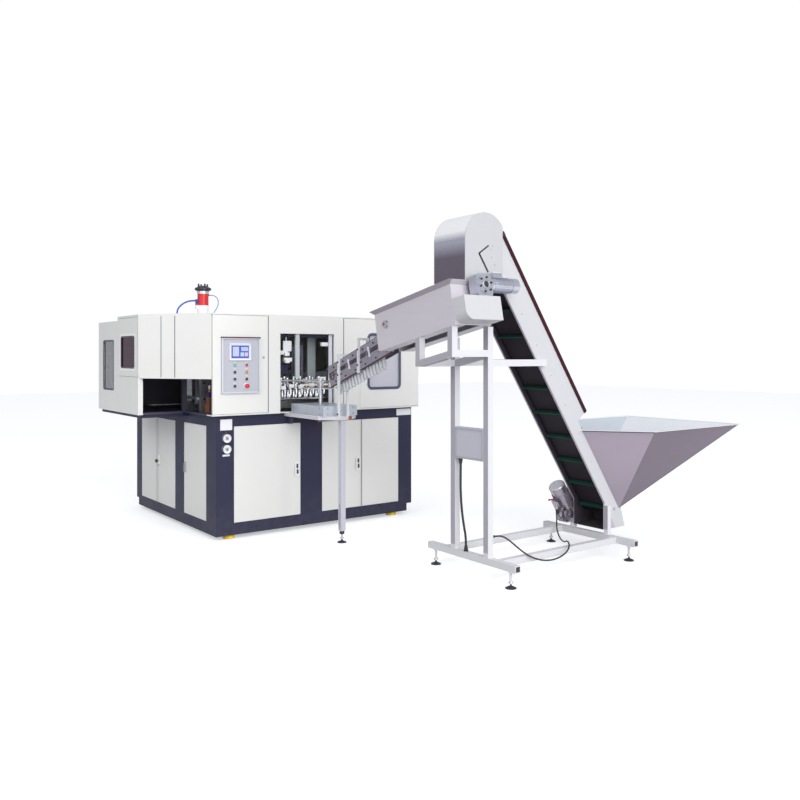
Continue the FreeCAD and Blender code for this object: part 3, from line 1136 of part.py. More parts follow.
motor_line = -115
worm_near = s.drum_distance - 60
gear_case_low = cut(block((worm_near, guard_half, -135), (worm_near + 120, guard_half + 105, 40), "worm_case"),
                    [rod((s.drum_distance, guard_half - 1, 0), shaft_bore, 80, "y", "output_bore")], "worm_case_bored")
motor_y = outer_half + 76
low_radius, low_length = 68, 170
gear_round = rod((s.drum_distance - 26, guard_half + 41, -177), 76, 70, "y", "gear_housing")
motor_start = s.drum_distance - 60 - low_length
low_motor = rod((motor_start, motor_y, motor_line), low_radius, low_length + 1, "x", "low_motor")
low_fan = rod((motor_start - 46, motor_y, motor_line), low_radius + 4, 47, "x", "low_fan")
low_terminals = block((motor_start + 50, motor_y - 38, motor_line - low_radius - 30),
                      (motor_start + 140, motor_y + 38, motor_line - low_radius + 16), "low_terminals")
low_gears = in_elevator(fuse([gear_case_low, gear_round, low_motor, low_fan, low_terminals], "low_gears"))
cable_start = Vector(2100, number_of(s.elevator_y + motor_y), 320)
gland = rod((cable_start.x, cable_start.y, cable_start.z), 12, 62, name="cable_gland")
node("lower_gearmotor", fuse([low_gears, gland], "lower_gearmotor"))

# --- Hopper: five mitred plates round the foot of the belt, with a turned-out rim ---
wall = number_of(s.hopper_sheet)
y_mid = number_of(s.elevator_y)
top = number_of(s.rim_level)
slant, square = number_of(cosine(s.incline)), number_of(sine(s.incline))


def from_elevator(along, up):
    return (number_of(head_x) + along * slant + up * square, number_of(head_z) - along * square + up * slant)


bottom_x, bottom_z = from_elevator(number_of(plate_end), 51)
wide_half, narrow_half = number_of(s.rim_half_width), number_of(guard_half)
start_x = from_elevator((number_of(head_z) - top + 48 * slant) / square, 48)[0]


def met(planes):
    """The point where three planes (normal, offset) meet."""
    (n1, d1), (n2, d2), (n3, d3) = planes
    volume = n1.dot(n2.cross(n3))
    return (n2.cross(n3) * d1 + n3.cross(n1) * d2 + n1.cross(n2) * d3) * (1 / volume)


def slab(inner, outer):
    """A solid between two matching polygons."""
    faces = []
    for ring in (inner, outer):
        faces.append(Part.Face(Part.makePolygon(ring + ring[:1])))
    for index in range(len(inner)):
        follower = (index + 1) % len(inner)
        a, b, c, d = inner[index], inner[follower], outer[follower], outer[index]
        faces.append(Part.Face(Part.makePolygon([a, b, c, a])))
        faces.append(Part.Face(Part.makePolygon([a, c, d, a])))
    solid = Part.makeSolid(Part.makeShell(faces))
    if solid.Volume < 0:
        solid.reverse()
    return solid


hopper = []
lips = []
for side in (-1, 1):
    a = Vector(start_x, side * narrow_half, top)
    n = Vector(number_of(s.rim_near_x), side * wide_half, top)
    f = Vector(number_of(s.rim_far_x), side * wide_half, top)
    c = Vector(bottom_x, side * narrow_half, bottom_z)
    centre = Vector(bottom_x + 150, 0, top - 60)

    def outward(p, q, r):
        normal = (q - p).cross(r - p).normalize()
        return -normal if (centre - p).dot(normal) > 0 else normal

    wing_n, side_n = outward(a, n, c), outward(n, f, c)
    end_n = outward(f, c, Vector(c.x, -c.y, c.z))
    wing_p = (wing_n, wing_n.dot(a) + wall)
    side_p = (side_n, side_n.dot(n) + wall)
    end_p = (end_n, end_n.dot(f) + wall)
    rim_p = (Vector(0, 0, 1), top)
    plate_p = (Vector(0, 1, 0), side * narrow_half)
    a_out, n_out = met([wing_p, rim_p, plate_p]), met([wing_p, side_p, rim_p])
    f_out, c_out = met([side_p, end_p, rim_p]), met([wing_p, side_p, end_p])
    hopper.append(slab([a, n, c], [a_out, n_out, c_out]))
    hopper.append(slab([n, f, c], [n_out, f_out, c_out]))
    lips.append((a, n, f))
    if side < 0:
        first = (f, c, f_out, c_out)
    else:
        share = 31 / (f - c).Length
        low = [first[1] + (first[0] - first[1]) * share, c + (f - c) * share]
        low_out = [first[3] + (first[2] - first[3]) * share, c_out + (f_out - c_out) * share]
        hopper.append(slab([first[0], f, low[1], low[0]], [first[2], f_out, low_out[1], low_out[0]]))
lip = number_of(s.rim_lip)
for side, (a, n, f) in zip((-1, 1), lips):
    away = Vector(0, side * lip, 0)
    wing_away = Vector(n.y - a.y, a.x - n.x, 0).normalize() * lip
    wing_away = wing_away if wing_away.x < 0 else -wing_away
    slope_run = (n - a).normalize()
    n_far = Vector(n.x, n.y + side * lip, top)
    n_far.x = (a + wing_away + slope_run * ((n_far.y - a.y - wing_away.y) / slope_run.y)).x
    a_far = a + wing_away + slope_run * ((a.y - a.y - wing_away.y) / slope_run.y)
    f_far = Vector(f.x + lip, f.y + side * lip, top)
    up = Vector(0, 0, wall)
    hopper.append(slab([a, n, n_far, a_far], [p + up for p in (a, n, n_far, a_far)]))
    hopper.append(slab([n, f, f_far, n_far], [p + up for p in (n, f, f_far, n_far)]))
f_a, f_b = lips[0][2], lips[1][2]
f_a_far, f_b_far = f_a + Vector(lip, -lip, 0), f_b + Vector(lip, lip, 0)
hopper.append(slab([f_a, f_b, f_b_far, f_a_far], [p + Vector(0, 0, wall) for p in (f_a, f_b, f_b_far, f_a_far)]))
node("hopper", group([carved("hopper_plate", solid, (0, y_mid, 0)) for solid in hopper], "hopper"))

# --- Stand of square tube under the trough and the elevator ---
tube = s.stand_tube
half_tube = tube / 2
tube_low = s.stand_level - tube
stand_rear_x = s.tail_x - s.rear_setback
stand = []
for x in (s.stand_x, stand_rear_x):
    stand.append(block((x - half_tube, s.elevator_y - s.stand_half, tube_low),
                       (x + half_tube, s.elevator_y + s.stand_half, s.stand_level), "crossbar"))
fall = sine(s.trough_slope) / cosine(s.trough_slope)


def trough_under(y):
    """Height of the trough's underside at a y."""
    return s.trough_low_z + (s.trough_low_y - y) * fall


front_x = s.stand_x - half_tube
upright_x = s.line_x - trough_half
beam_level = s.brace_level + 20
for side in (-1, 1):
    y = s.elevator_y + side * s.post_half
    near, far = y - half_tube, y + half_tube
    stand.append(block((s.stand_x + half_tube, s.elevator_y + side * s.bar_half - half_tube, tube_low),
                       (stand_rear_x - half_tube, s.elevator_y + side * s.bar_half + half_tube, s.stand_level),
                       "long_bar"))
    post = [(near, s.stand_level), (far, s.stand_level), (far, trough_under(far)), (near, trough_under(near))]
    stand.append(place(padded("post", "YZ_Plane", post, tube), (front_x, 0, 0)))
    level = beam_level if side < 0 else beam_level - 2 * s.post_half * fall
    stand.append(block((upright_x + tube, near, level), (front_x, far, level + tube), "head_beam"))
    upright = [(near, level), (far, level), (far, trough_under(far)), (near, trough_under(near))]
    stand.append(place(padded("upright", "YZ_Plane", upright, tube), (upright_x, 0, 0)))
    brace_side = s.elevator_y + side * outer_half
    low_y_side, high_y_side = (near, brace_side) if side < 0 else (brace_side, far)
    stand.append(block((s.stand_x + half_tube, low_y_side, s.brace_level - tube), (1490, high_y_side, s.brace_level),
                       "brace"))
    rear_top = 400 if side < 0 else 240
    rear_near = s.elevator_y - guard_half - s.rear_post_tube if side < 0 else s.elevator_y + guard_half
    stand.append(block((stand_rear_x - half_tube + 30, rear_near, s.stand_level),
                       (stand_rear_x - half_tube + 30 + s.rear_post_tube, rear_near + s.rear_post_tube, rear_top),
                       "rear_post"))
inner_near = s.elevator_y - s.post_half + half_tube
inner_far = s.elevator_y + s.post_half - half_tube
level = beam_level
far_level = beam_level - 2 * s.post_half * fall
lower = level - tube * fall
upper_far = lower - (inner_far - inner_near) * fall
for x in (upright_x, front_x):
    side_beam = [(inner_near, lower), (inner_near, lower + tube), (inner_far, upper_far + tube), (inner_far, upper_far)]
    stand.append(place(padded("side_beam", "YZ_Plane", side_beam, tube), (x, 0, 0)))
control_low = s.control_plate_bottom
stand.append(block((front_x, inner_near, control_low),
                   (front_x + tube, inner_far, control_low + s.control_plate_height), "junction_box"))
supply_start, supply_end = (910, -2110, 845), (910, -2170, 186)
stand.append(rod(supply_start, 14, 15, name="supply_gland"))
stand.append(rod((supply_end[0], supply_end[1], s.stand_level), 14, 16, name="supply_gland"))
post_gland_y = number_of(s.elevator_y - s.post_half)
stand.append(rod((s.stand_x + half_tube, post_gland_y, 315), 11, 15, "x", "post_gland"))
node("stand_frame", group(stand, "stand_frame"))

feet = []
foot_spots = [(x, s.elevator_y + side * s.foot_half, tube_low) for x in (s.stand_x, stand_rear_x) for side in (-1, 1)]
foot_spots.append((s.line_x, s.leg_y, s.leg_bottom))
for x, y, level in foot_spots:
    foot = turned("foot", [(0, 0), (s.disc_radius, 0), (s.disc_radius, s.disc_height / 2),
                           (s.stud_radius * 2, s.disc_height + 6), (s.stud_radius, s.disc_height + 6),
                           (s.stud_radius, level), (0, level)])
    feet.append(place(foot, (x, y, 0)))
node("disc_feet", group(feet, "disc_feet"))


# --- Cables and hoses: straight runs joined by tangent arcs ---
def cord(label, points, radius):
    points = [Vector(*point) for point in points]
    edges, start, least = [], points[0], None
    for before, knot, after in zip(points, points[1:], points[2:]):
        shorter = min((knot - before).Length, (after - knot).Length)
        inward, onward = (knot - before).normalize(), (after - knot).normalize()
        turn = inward.getAngle(onward)
        reach = 0.45 * shorter
        bend = reach / math.tan(turn / 2)
        least = bend if least is None else min(least, bend)
        enter, leave = knot - inward * reach, knot + onward * reach
        middle_way = (onward - inward).normalize()
        middle = knot + middle_way * (bend / math.cos(turn / 2) - bend)
        edges.append(Part.makeLine(start, enter))
        edges.append(Part.Arc(enter, middle, leave).toShape())
        start = leave
    edges.append(Part.makeLine(start, points[-1]))
    path = Part.Wire(edges)
    across = number_of(radius)
    ring = Part.Wire(Part.makeCircle(across, points[0], points[1] - points[0]))
    solid = path.makePipeShell([ring], True, False)
    print("%s: least bend radius %.0f mm, length %.0f mm, volume %.0f of %.0f mm3"
          % (label, least, path.Length, solid.Volume, math.pi * across ** 2 * path.Length))
    return node(label, carved(label, solid))


cord("lower_motor_cable",
     [(cable_start.x, cable_start.y, cable_start.z), (cable_start.x, cable_start.y, 250), (2088, -1990, 190),
      (2050, -2032, 150), (1985, -2110, 132), (1910, -2200, 128), (1836, -2292, 138), (1768, -2376, 160),
      (1708, -2446, 188), (1652, -2512, 198), (1604, -2566, 184), (1545, -2592, 152), (1455, -2598, 124),
      (1352, -2596, 118), (1252, -2586, 136), (1172, -2560, 172), (1122, -2516, 220), (1096, -2468, 262),
      (1064, -2428, 298), (1012, post_gland_y, 315), (950, post_gland_y, 315)],
     s.motor_cable_radius)
cord("supply_cable",
     [supply_start, (910, -2110, 750), (904, -2115, 650), (899, -2126, 552), (897, -2140, 454),
      (901, -2156, 358), (910, -2170, 270), supply_end], s.supply_cable_radius)
port_x = number_of(s.clamp_x - s.cylinder_radius - 20)
cord("blue_hose",
     [(port_x, 630, 2150), (port_x - 55, 630, 2150), (port_x - 127, 632, 2120), (port_x - 168, 635, 2079),
      (-228.6, 637, 2044), (-228.6, 637, 2008)], s.hose_radius)
cord("thin_hose",
     [(90, 630, 2208), (124, 630, 2208), (156, 632, 2200), (179, 634, 2176), (187, 636, 2144), (182, 638, 2109),
      (166, 641, 2076), (140, 642, 2044), (140, 642, 2008)], s.air_line_radius)

# --- Recompute, test and export ---
doc.recompute()
for thing in doc.Objects:
    assert "Invalid" not in thing.State and "Error" not in thing.State, (thing.Label, thing.State)
for thing in nodes:
    assert not thing.Shape.isNull() and thing.Shape.isValid(), thing.Label
    thing.Shape.exportStep("parts/%s.step" % thing.Label)
print(len(nodes), "nodes")
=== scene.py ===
import math

import bpy
from mathutils import Matrix, Vector


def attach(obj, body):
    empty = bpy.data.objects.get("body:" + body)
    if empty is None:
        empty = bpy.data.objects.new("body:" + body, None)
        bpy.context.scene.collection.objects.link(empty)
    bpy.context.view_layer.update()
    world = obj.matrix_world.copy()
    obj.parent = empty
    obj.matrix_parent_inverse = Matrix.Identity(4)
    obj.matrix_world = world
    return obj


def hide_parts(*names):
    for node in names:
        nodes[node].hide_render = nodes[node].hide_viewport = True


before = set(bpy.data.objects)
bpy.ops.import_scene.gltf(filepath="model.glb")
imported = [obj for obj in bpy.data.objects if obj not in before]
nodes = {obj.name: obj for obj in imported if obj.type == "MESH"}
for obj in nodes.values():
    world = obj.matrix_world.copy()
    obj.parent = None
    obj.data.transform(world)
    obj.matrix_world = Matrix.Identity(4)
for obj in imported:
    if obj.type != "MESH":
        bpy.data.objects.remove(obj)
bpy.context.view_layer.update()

bpy.ops.object.select_all(action="DESELECT")

# --- Studio ---
# A white floor that keeps the machine's soft shadow under an even pale sky, a level camera at standing eye
# height before the machine's near corner, one broad lamp in front and a smaller one on the left.
EYE, EYE_TURN = (-3.12, -6.77, 1.635), -36.6
bpy.ops.object.camera_add(location=EYE, rotation=(math.radians(90), 0, math.radians(EYE_TURN)))
camera = bpy.context.object
camera.data.lens = 36.74
camera.data.shift_y = -0.0565
bpy.context.scene.camera = camera
bpy.context.scene.view_settings.view_transform = "Standard"


def feed(tree, socket, value):
    """Links a socket to another, or sets its value."""
    if isinstance(value, bpy.types.NodeSocket):
        tree.links.new(value, socket)
    elif socket.type == "RGBA" and len(value) == 3:
        socket.default_value = (*value, 1)
    else:
        socket.default_value = value


def made_by(tree, kind, *values, **settings):
    """The result of a new shader node, whose open inputs take the values in their order."""
    step = tree.nodes.new("ShaderNode" + kind)
    for label, setting in settings.items():
        setattr(step, label, setting)
    for socket, value in zip([s for s in step.inputs if s.enabled], values):
        feed(tree, socket, value)
    return next(s for s in step.outputs if s.enabled)


def maths(tree, operation, *values):
    """The result of a Math node."""
    return made_by(tree, "Math", *values, operation=operation)


def mixed(tree, factor, first, second):
    """A mix of two colours."""
    return made_by(tree, "Mix", factor, first, second, data_type="RGBA")


bpy.ops.mesh.primitive_plane_add(size=60, location=(1, 0, 0))
floor = bpy.context.object
floor.name = "studio_floor"
floor_paint = bpy.data.materials.new("studio_floor")
floor_paint.use_nodes = True
tree = floor_paint.node_tree
shader = tree.nodes["Principled BSDF"].inputs
shader["Roughness"].default_value = 0.9
shader["Emission Color"].default_value = (1, 1, 1, 1)
path = tree.nodes.new("ShaderNodeLightPath").outputs
seen = maths(tree, "MAXIMUM", maths(tree, "MAXIMUM", path["Is Camera Ray"], path["Is Glossy Ray"]),
             path["Is Transmission Ray"])
tree.links.new(mixed(tree, seen, (0.38, 0.38, 0.40), (0.80, 0.81, 0.82)), shader["Base Color"])
tree.links.new(maths(tree, "MULTIPLY", seen, 0.45), shader["Emission Strength"])
floor.data.materials.append(floor_paint)

world = bpy.data.worlds.new("studio")
bpy.context.scene.world = world
world.use_nodes = True
tree = world.node_tree
sky = tree.nodes["Background"].inputs
sky["Color"].default_value = (0.93, 0.95, 1.0, 1)
path = tree.nodes.new("ShaderNodeLightPath").outputs
seen = maths(tree, "MAXIMUM", path["Is Camera Ray"], path["Is Transmission Ray"])
LIGHT_CAST, LIGHT_SEEN = 0.64, 1.08
tree.links.new(made_by(tree, "MapRange", seen, 0.0, 1.0, LIGHT_CAST, LIGHT_SEEN), sky["Strength"])

for place, aim, size, power in (((-0.5, -16.0, 6.5), (1.0, -0.5, 1.0), 14.0, 2100),
                                ((-6.5, -3.0, 5.0), (0.2, 0.2, 1.0), 4.0, 170)):
    bpy.ops.object.light_add(type="AREA", location=place)
    lamp = bpy.context.object
    lamp.data.size = size
    lamp.data.energy = power
    lamp.rotation_euler = (Vector(aim) - Vector(place)).to_track_quat("-Z", "Y").to_euler()

# --- Base frame ---
# A welded frame of folded sheet and square tube, sprayed dark navy over its whole outside: an even baked
# coat with a fine orange peel, slight changes of shade and dust that gathers near the floor.
UP = (0, 0, 1)


def material_tree(name):
    """A new material: its tree, its shader's inputs and its Object coordinates."""
    made = bpy.data.materials.new(name)
    made.use_nodes = True
    tree = made.node_tree
    return made, tree, tree.nodes["Principled BSDF"].inputs, tree.nodes.new("ShaderNodeTexCoord").outputs["Object"]


def new_group(name, inputs, outputs):
    """A shader node group with sockets (name, type, start value): its tree, what comes in, what goes out."""
    group = bpy.data.node_groups.new(name, "ShaderNodeTree")
    for label, kind, *start in inputs:
        socket = group.interface.new_socket(label, in_out="INPUT", socket_type="NodeSocket" + kind)
        if start:
            socket.default_value = start[0]
    for label, kind in outputs:
        group.interface.new_socket(label, in_out="OUTPUT", socket_type="NodeSocket" + kind)
    return group, group.nodes.new("NodeGroupInput").outputs, group.nodes.new("NodeGroupOutput").inputs


def vectors(tree, operation, *values):
    """The result of a Vector Math node."""
    return made_by(tree, "VectorMath", *values, operation=operation)


def axes(tree, vector):
    """The X, Y and Z of a vector."""
    split = tree.nodes.new("ShaderNodeSeparateXYZ")
    tree.links.new(vector, split.inputs[0])
    return split.outputs


def noise(tree, place, scale, detail=2.0):
    """A noise value at so many features a metre."""
    return made_by(tree, "TexNoise", place, scale, detail)


coat, given, made = new_group("sprayed_coat", [
    ("Place", "Vector"), ("Paint", "Color", (0.8, 0.8, 0.8, 1)), ("Shade", "Float", 0.05),
    ("Gloss", "Float", 0.45), ("Dust", "Float", 0.0)],
    [("Color", "Color"), ("Roughness", "Float"), ("Height", "Float")])
where = given["Place"]
DUST_TOP, DUST_COLOR = 0.42, (0.42, 0.40, 0.37)
fine = noise(coat, where, 14, 4)
drift = maths(coat, "MULTIPLY_ADD", maths(coat, "MULTIPLY_ADD", fine, 0.35, noise(coat, where, 1.7, 3)), 2.0, -1.35)
tinted = vectors(coat, "SCALE", given["Paint"], maths(coat, "MULTIPLY_ADD", drift, given["Shade"], 1.0))
low = made_by(coat, "MapRange", axes(coat, where)["Z"], DUST_TOP, 0.0)
patches = maths(coat, "MULTIPLY_ADD", fine, 1.6, -0.35)
dusty = made_by(coat, "Clamp", maths(coat, "MULTIPLY", maths(coat, "MULTIPLY", low, patches), given["Dust"]))
wiped = maths(coat, "MULTIPLY_ADD", noise(coat, where, 5, 5), 0.18, -0.09)
coat.links.new(mixed(coat, dusty, tinted, DUST_COLOR), made["Color"])
coat.links.new(maths(coat, "MULTIPLY_ADD", dusty, 0.4, maths(coat, "ADD", given["Gloss"], wiped)), made["Roughness"])
coat.links.new(noise(coat, where, 420), made["Height"])

box_mask, given, made = new_group("inside_box", [("Place", "Vector"), ("Low", "Vector"), ("High", "Vector")],
                                  [("Mask", "Float")])
tree, where = box_mask, given["Place"]
depth = axes(tree, vectors(tree, "MINIMUM", vectors(tree, "SUBTRACT", where, given["Low"]),
                           vectors(tree, "SUBTRACT", given["High"], where)))
least = maths(tree, "MINIMUM", depth[0], maths(tree, "MINIMUM", depth[1], depth[2]))
tree.links.new(maths(tree, "GREATER_THAN", least, 0.0), made["Mask"])

plane_mask, given, made = new_group("between_planes", [
    ("Place", "Vector"), ("Across", "Vector", UP), ("From", "Float", 0.0), ("To", "Float", 1.0),
    ("Soft", "Float", 0.0001)], [("Mask", "Float")])
tree = plane_mask
level = vectors(tree, "DOT_PRODUCT", given["Place"], given["Across"])
nearest = maths(tree, "MINIMUM", maths(tree, "SUBTRACT", level, given["From"]),
                maths(tree, "SUBTRACT", given["To"], level))
tree.links.new(made_by(tree, "Clamp", maths(tree, "DIVIDE", nearest, given["Soft"])), made["Mask"])


def use_group(tree, group, **values):
    """The results of a group placed in a material."""
    step = tree.nodes.new("ShaderNodeGroup")
    step.node_tree = group
    for label, value in values.items():
        feed(tree, step.inputs[label], value)
    return step.outputs


def swapped(tree, mask, before, after):
    """A number that changes where the mask is one."""
    return maths(tree, "MULTIPLY_ADD", mask, maths(tree, "SUBTRACT", after, before), before)


def bumped(tree, shader, height, strength, distance):
    """Raises the surface by a height."""
    bump = tree.nodes.new("ShaderNodeBump")
    for label, value in (("Strength", strength), ("Distance", distance), ("Height", height)):
        feed(tree, bump.inputs[label], value)
    tree.links.new(bump.outputs[0], shader["Normal"])


def sprayed(name, color, gloss=0.45, metal=0.0, shade=0.04, dust=0.0, lines=None, contrast=0.12, marks=(),
            peel=0.12, shine=0.5):
    """A coat of paint, or bare rolled sheet where lines are given. Each mark is (where, colour, gloss) or
    (where, colour, gloss, metal): where is a box (low, high), planes (across, from, to, fade), or (normal,) for
    the faces that look that way."""
    made, tree, shader, place = material_tree(name)
    paint, roughness, metallic = color, gloss, metal
    for (first, *limits), mark_color, mark_gloss, *rest in marks:
        mark_metal = rest[0] if rest else 0.0
        if not limits:
            outward = tree.nodes.new("ShaderNodeTexCoord").outputs["Normal"]
            mask = maths(tree, "GREATER_THAN", vectors(tree, "DOT_PRODUCT", outward, first), 0.05)
        elif len(limits) == 1:
            mask = use_group(tree, box_mask, Place=place, Low=first, High=limits[0])["Mask"]
        else:
            start, end, fade = (*limits, 0.0001)[:3]
            mask = use_group(tree, plane_mask, Place=place, Across=first, From=start, To=end, Soft=fade)["Mask"]
        paint = mixed(tree, mask, paint, mark_color)
        roughness = swapped(tree, mask, roughness, mark_gloss)
        if metal or metallic is not metal or mark_metal:
            metallic = swapped(tree, mask, metallic, mark_metal)
    if lines:
        skin = use_group(tree, rolled_sheet, Place=place, Metal=paint, Lines=lines, Contrast=contrast, Gloss=roughness)
    else:
        skin = use_group(tree, coat, Place=place, Paint=paint, Shade=shade, Gloss=roughness, Dust=dust)
    tree.links.new(skin["Color"], shader["Base Color"])
    tree.links.new(skin["Roughness"], shader["Roughness"])
    feed(tree, shader["Metallic"], metallic)
    shader["Specular IOR Level"].default_value = shine
    bumped(tree, shader, skin["Height"], peel, 0.0005)
    return made


def dress(material, *names):
    """Gives CAD nodes their finish."""
    for name in names:
        mesh = nodes[name].data
        mesh.materials.clear()
        mesh.materials.append(material)


navy_paint = sprayed("navy_paint", (0.03, 0.03, 0.064), gloss=0.55, shade=0.1, dust=0.08, shine=0.22)
dress(navy_paint, "base_frame")

# --- Levelling pads ---
# Four square anti-vibration pads of moulded yellow rubber under the corners of the base. Their lowest few
# millimetres, where they stand on the floor, are a darker orange.
dress(sprayed("yellow_rubber", (0.98, 0.7, 0.02), gloss=0.55, shade=0.1, dust=0.04, peel=0.3,
              marks=[((UP, -0.01, 0.006), (0.85, 0.42, 0.02), 0.6)]), "levelling_pads")

# --- Front panels and doors of the base ---
# Folded sheet doors in a sprayed cream coat, hinged in the navy frame. The left and middle ones open by a
# moulded slot pull: a white rim round a white cup with two dark oval paddles.


def cream(name, marks=()):
    """The cream coat, with marks of its own."""
    return sprayed(name, (0.80, 0.80, 0.765), gloss=0.4, shade=0.035, dust=0.1, marks=marks)


cream_paint = cream("cream_paint")
dress(cream_paint, "front_door_left", "front_door_middle", "front_door_right")
dress(cream("fixed_panel_paint", [(((1.8, -0.0725, 1.01), (2.0, -0.0702, 1.09)), (0.86, 0.86, 0.87), 0.3)]),
      "base_fixed_panels")

FACING = {"up": (0, 0), "down": (180, 0), "front": (90, 0), "left": (90, -90), "right": (90, 90), "back": (90, 180)}


def turn(axis, degrees):
    """A turn about an axis."""
    return Matrix.Rotation(math.radians(degrees), 4, axis)


def only(*pieces):
    """Selects these pieces, the first one active."""
    bpy.ops.object.select_all(action="DESELECT")
    for piece in pieces:
        piece.select_set(True)
    bpy.context.view_layer.objects.active = pieces[0]


def repeated(piece, moves):
    """Makes a piece's first move, and joins on a copy for each further one."""
    twins = [piece]
    for _ in moves[1:]:
        twin = piece.copy()
        twin.data = piece.data.copy()
        bpy.context.collection.objects.link(twin)
        twins.append(twin)
    for twin, move in zip(twins, moves):
        twin.data.transform(move)
    only(*twins)
    if len(twins) > 1:
        bpy.ops.object.join()
    return piece


def fix(piece, material, places, facing="up", lean=("X", 0), body="line"):
    """Sets a piece made on the bench at each place, its top looking out of the face there, and gives it its
    finish and the body it moves with. A lean is (axis, degrees), for a face that slopes."""
    tilt, swing = FACING[facing]
    stand = turn(*lean) @ turn("Z", swing) @ turn("X", tilt)
    repeated(piece, [Matrix.Translation(place) @ stand for place in places])
    piece.data.materials.clear()
    piece.data.materials.append(material)
    bpy.ops.object.shade_smooth_by_angle(angle=math.radians(35))
    bpy.ops.object.select_all(action="DESELECT")
    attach(piece, body)


def begun(name):
    """Opens the primitive just added for shaping, all of it selected."""
    piece = bpy.context.object
    piece.name = name
    bpy.ops.object.transform_apply(location=True, rotation=False, scale=True)
    bpy.ops.object.mode_set(mode="EDIT")
    bpy.ops.mesh.select_all(action="SELECT")
    return piece


def sheet(name, width, height, corner, steps):
    """A flat sheet with rounded corners, open for shaping."""
    bpy.ops.mesh.primitive_plane_add(size=1)
    bpy.context.object.scale = (width, height, 1)
    piece = begun(name)
    bpy.ops.mesh.bevel(offset=corner, segments=steps, affect="VERTICES")
    bpy.ops.mesh.select_all(action="SELECT")
    return piece


def disc(name, radius, sides, height=0):
    """A round sheet, open for shaping."""
    bpy.ops.mesh.primitive_circle_add(vertices=sides, radius=radius, fill_type="NGON", location=(0, 0, height))
    return begun(name)


def lift(height):
    """Draws the selected faces up."""
    bpy.ops.mesh.extrude_region_move(TRANSFORM_OT_translate={"value": (0, 0, height)})


def closed(piece):
    """Turns the faces outward and ends the shaping."""
    bpy.ops.mesh.select_all(action="SELECT")
    bpy.ops.mesh.normals_make_consistent(inside=False)
    bpy.ops.object.mode_set(mode="OBJECT")
    return piece


def soften(piece, width):
    """Rounds the sharp edges of a piece."""
    bevel = piece.modifiers.new("bevel", "BEVEL")
    bevel.width = width
    bevel.segments = 2
    bevel.limit_method = "ANGLE"
    bevel.angle_limit = math.radians(40)
    only(piece)
    bpy.ops.object.modifier_apply(modifier="bevel")
    return piece


def opened(piece, band, depth):
    """Cuts the middle out of a sheet, lifts the band that is left and rounds its edges."""
    bpy.ops.mesh.inset(thickness=band)
    bpy.ops.mesh.delete(type="FACE")
    bpy.ops.mesh.select_all(action="SELECT")
    lift(depth)
    return soften(closed(piece), min(band, depth) * 0.3)


def plate(name, width, height, corner, depth, edge=0.0, steps=5):
    """A rounded plate, back down, with a broken top edge."""
    piece = sheet(name, width, height, corner, steps)
    lift(depth - edge)
    if edge:
        bpy.ops.mesh.inset(thickness=edge, depth=edge)
    return closed(piece)


def rim(name, width, height, corner, band, depth):
    """A closed rounded frame: gasket, bezel or lip."""
    return opened(sheet(name, width, height, corner, 6), band, depth)


def turned(name, profile, sides=24):
    """A turned piece: (radius, height) from its foot to its top."""
    (radius, height), *steps = profile
    piece = disc(name, radius, sides, height)
    for next_radius, next_height in steps:
        lift(next_height - height)
        ratio = next_radius / radius
        bpy.ops.transform.resize(value=(ratio, ratio, 1), center_override=(0, 0, 0))
        radius, height = next_radius, next_height
    return closed(piece)


pull_white = sprayed("pull_white", (0.86, 0.86, 0.86), gloss=0.3, shade=0.03)
pull_dark = sprayed("pull_dark", (0.055, 0.05, 0.1), gloss=0.4, shade=0.15)
for leaf, (x, y, z) in (("front_left", (0.653, -0.082, 0.572)), ("front_middle", (1.336, -0.082, 0.571))):
    for piece, material, places in (
            (rim(leaf + "_pull_rim", 0.052, 0.132, 0.016, 0.01, 0.005), pull_white, [(x, y, z)]),
            (plate(leaf + "_pull_cup", 0.034, 0.112, 0.008, 0.0015, 0.0005), pull_white, [(x, y, z)]),
            (plate(leaf + "_pull_paddles", 0.02, 0.044, 0.0095, 0.0042, 0.0012), pull_dark,
             [(x, y, z + 0.026), (x + 0.003, y, z - 0.026)])):
        fix(piece, material, places, "front", body=leaf + "_leaf")

# --- Side panels and doors of the base ---
# The same cream sheet doors on the operator's left. The middle leaf has a black turning knob over a key
# cylinder, and the near leaf a slim steel edge latch.
dress(cream_paint, "side_door_middle", "side_door_far")
dress(cream("near_leaf_paint", [(((-0.164, 0.6, 0.45), (-0.1503, 0.68, 0.7)), (0.4, 0.4, 0.42), 0.4, 0.3)]),
      "side_door_near")
black_plastic = sprayed("black_plastic", (0.02, 0.02, 0.022), gloss=0.35, shade=0.2, peel=0.1)
lock_steel = sprayed("lock_steel", (0.5, 0.5, 0.52), gloss=0.3, metal=0.9, shade=0.1)
knob = [(0.009, 0), (0.009, 0.006), (0.016, 0.008), (0.019, 0.014), (0.017, 0.022), (0.011, 0.025)]
key_cylinder = [(0.011, 0), (0.011, 0.003), (0.009, 0.005), (0.006, 0.005), (0.0055, 0.004)]
fix(turned("side_knob", knob), black_plastic, [(-0.162, 1.327, 0.563)], "left",
    body="side_middle_leaf")
fix(turned("side_key_cylinder", key_cylinder), lock_steel, [(-0.162, 1.327, 0.52)], "left",
    body="side_middle_leaf")
fix(plate("side_edge_latch", 0.01, 0.082, 0.004, 0.005, 0.0015),
    sprayed("latch_steel", (0.2, 0.2, 0.23), gloss=0.45, metal=0.5, shade=0.1),
    [(-0.162, 0.64, 0.572)], "left", body="side_near_leaf")

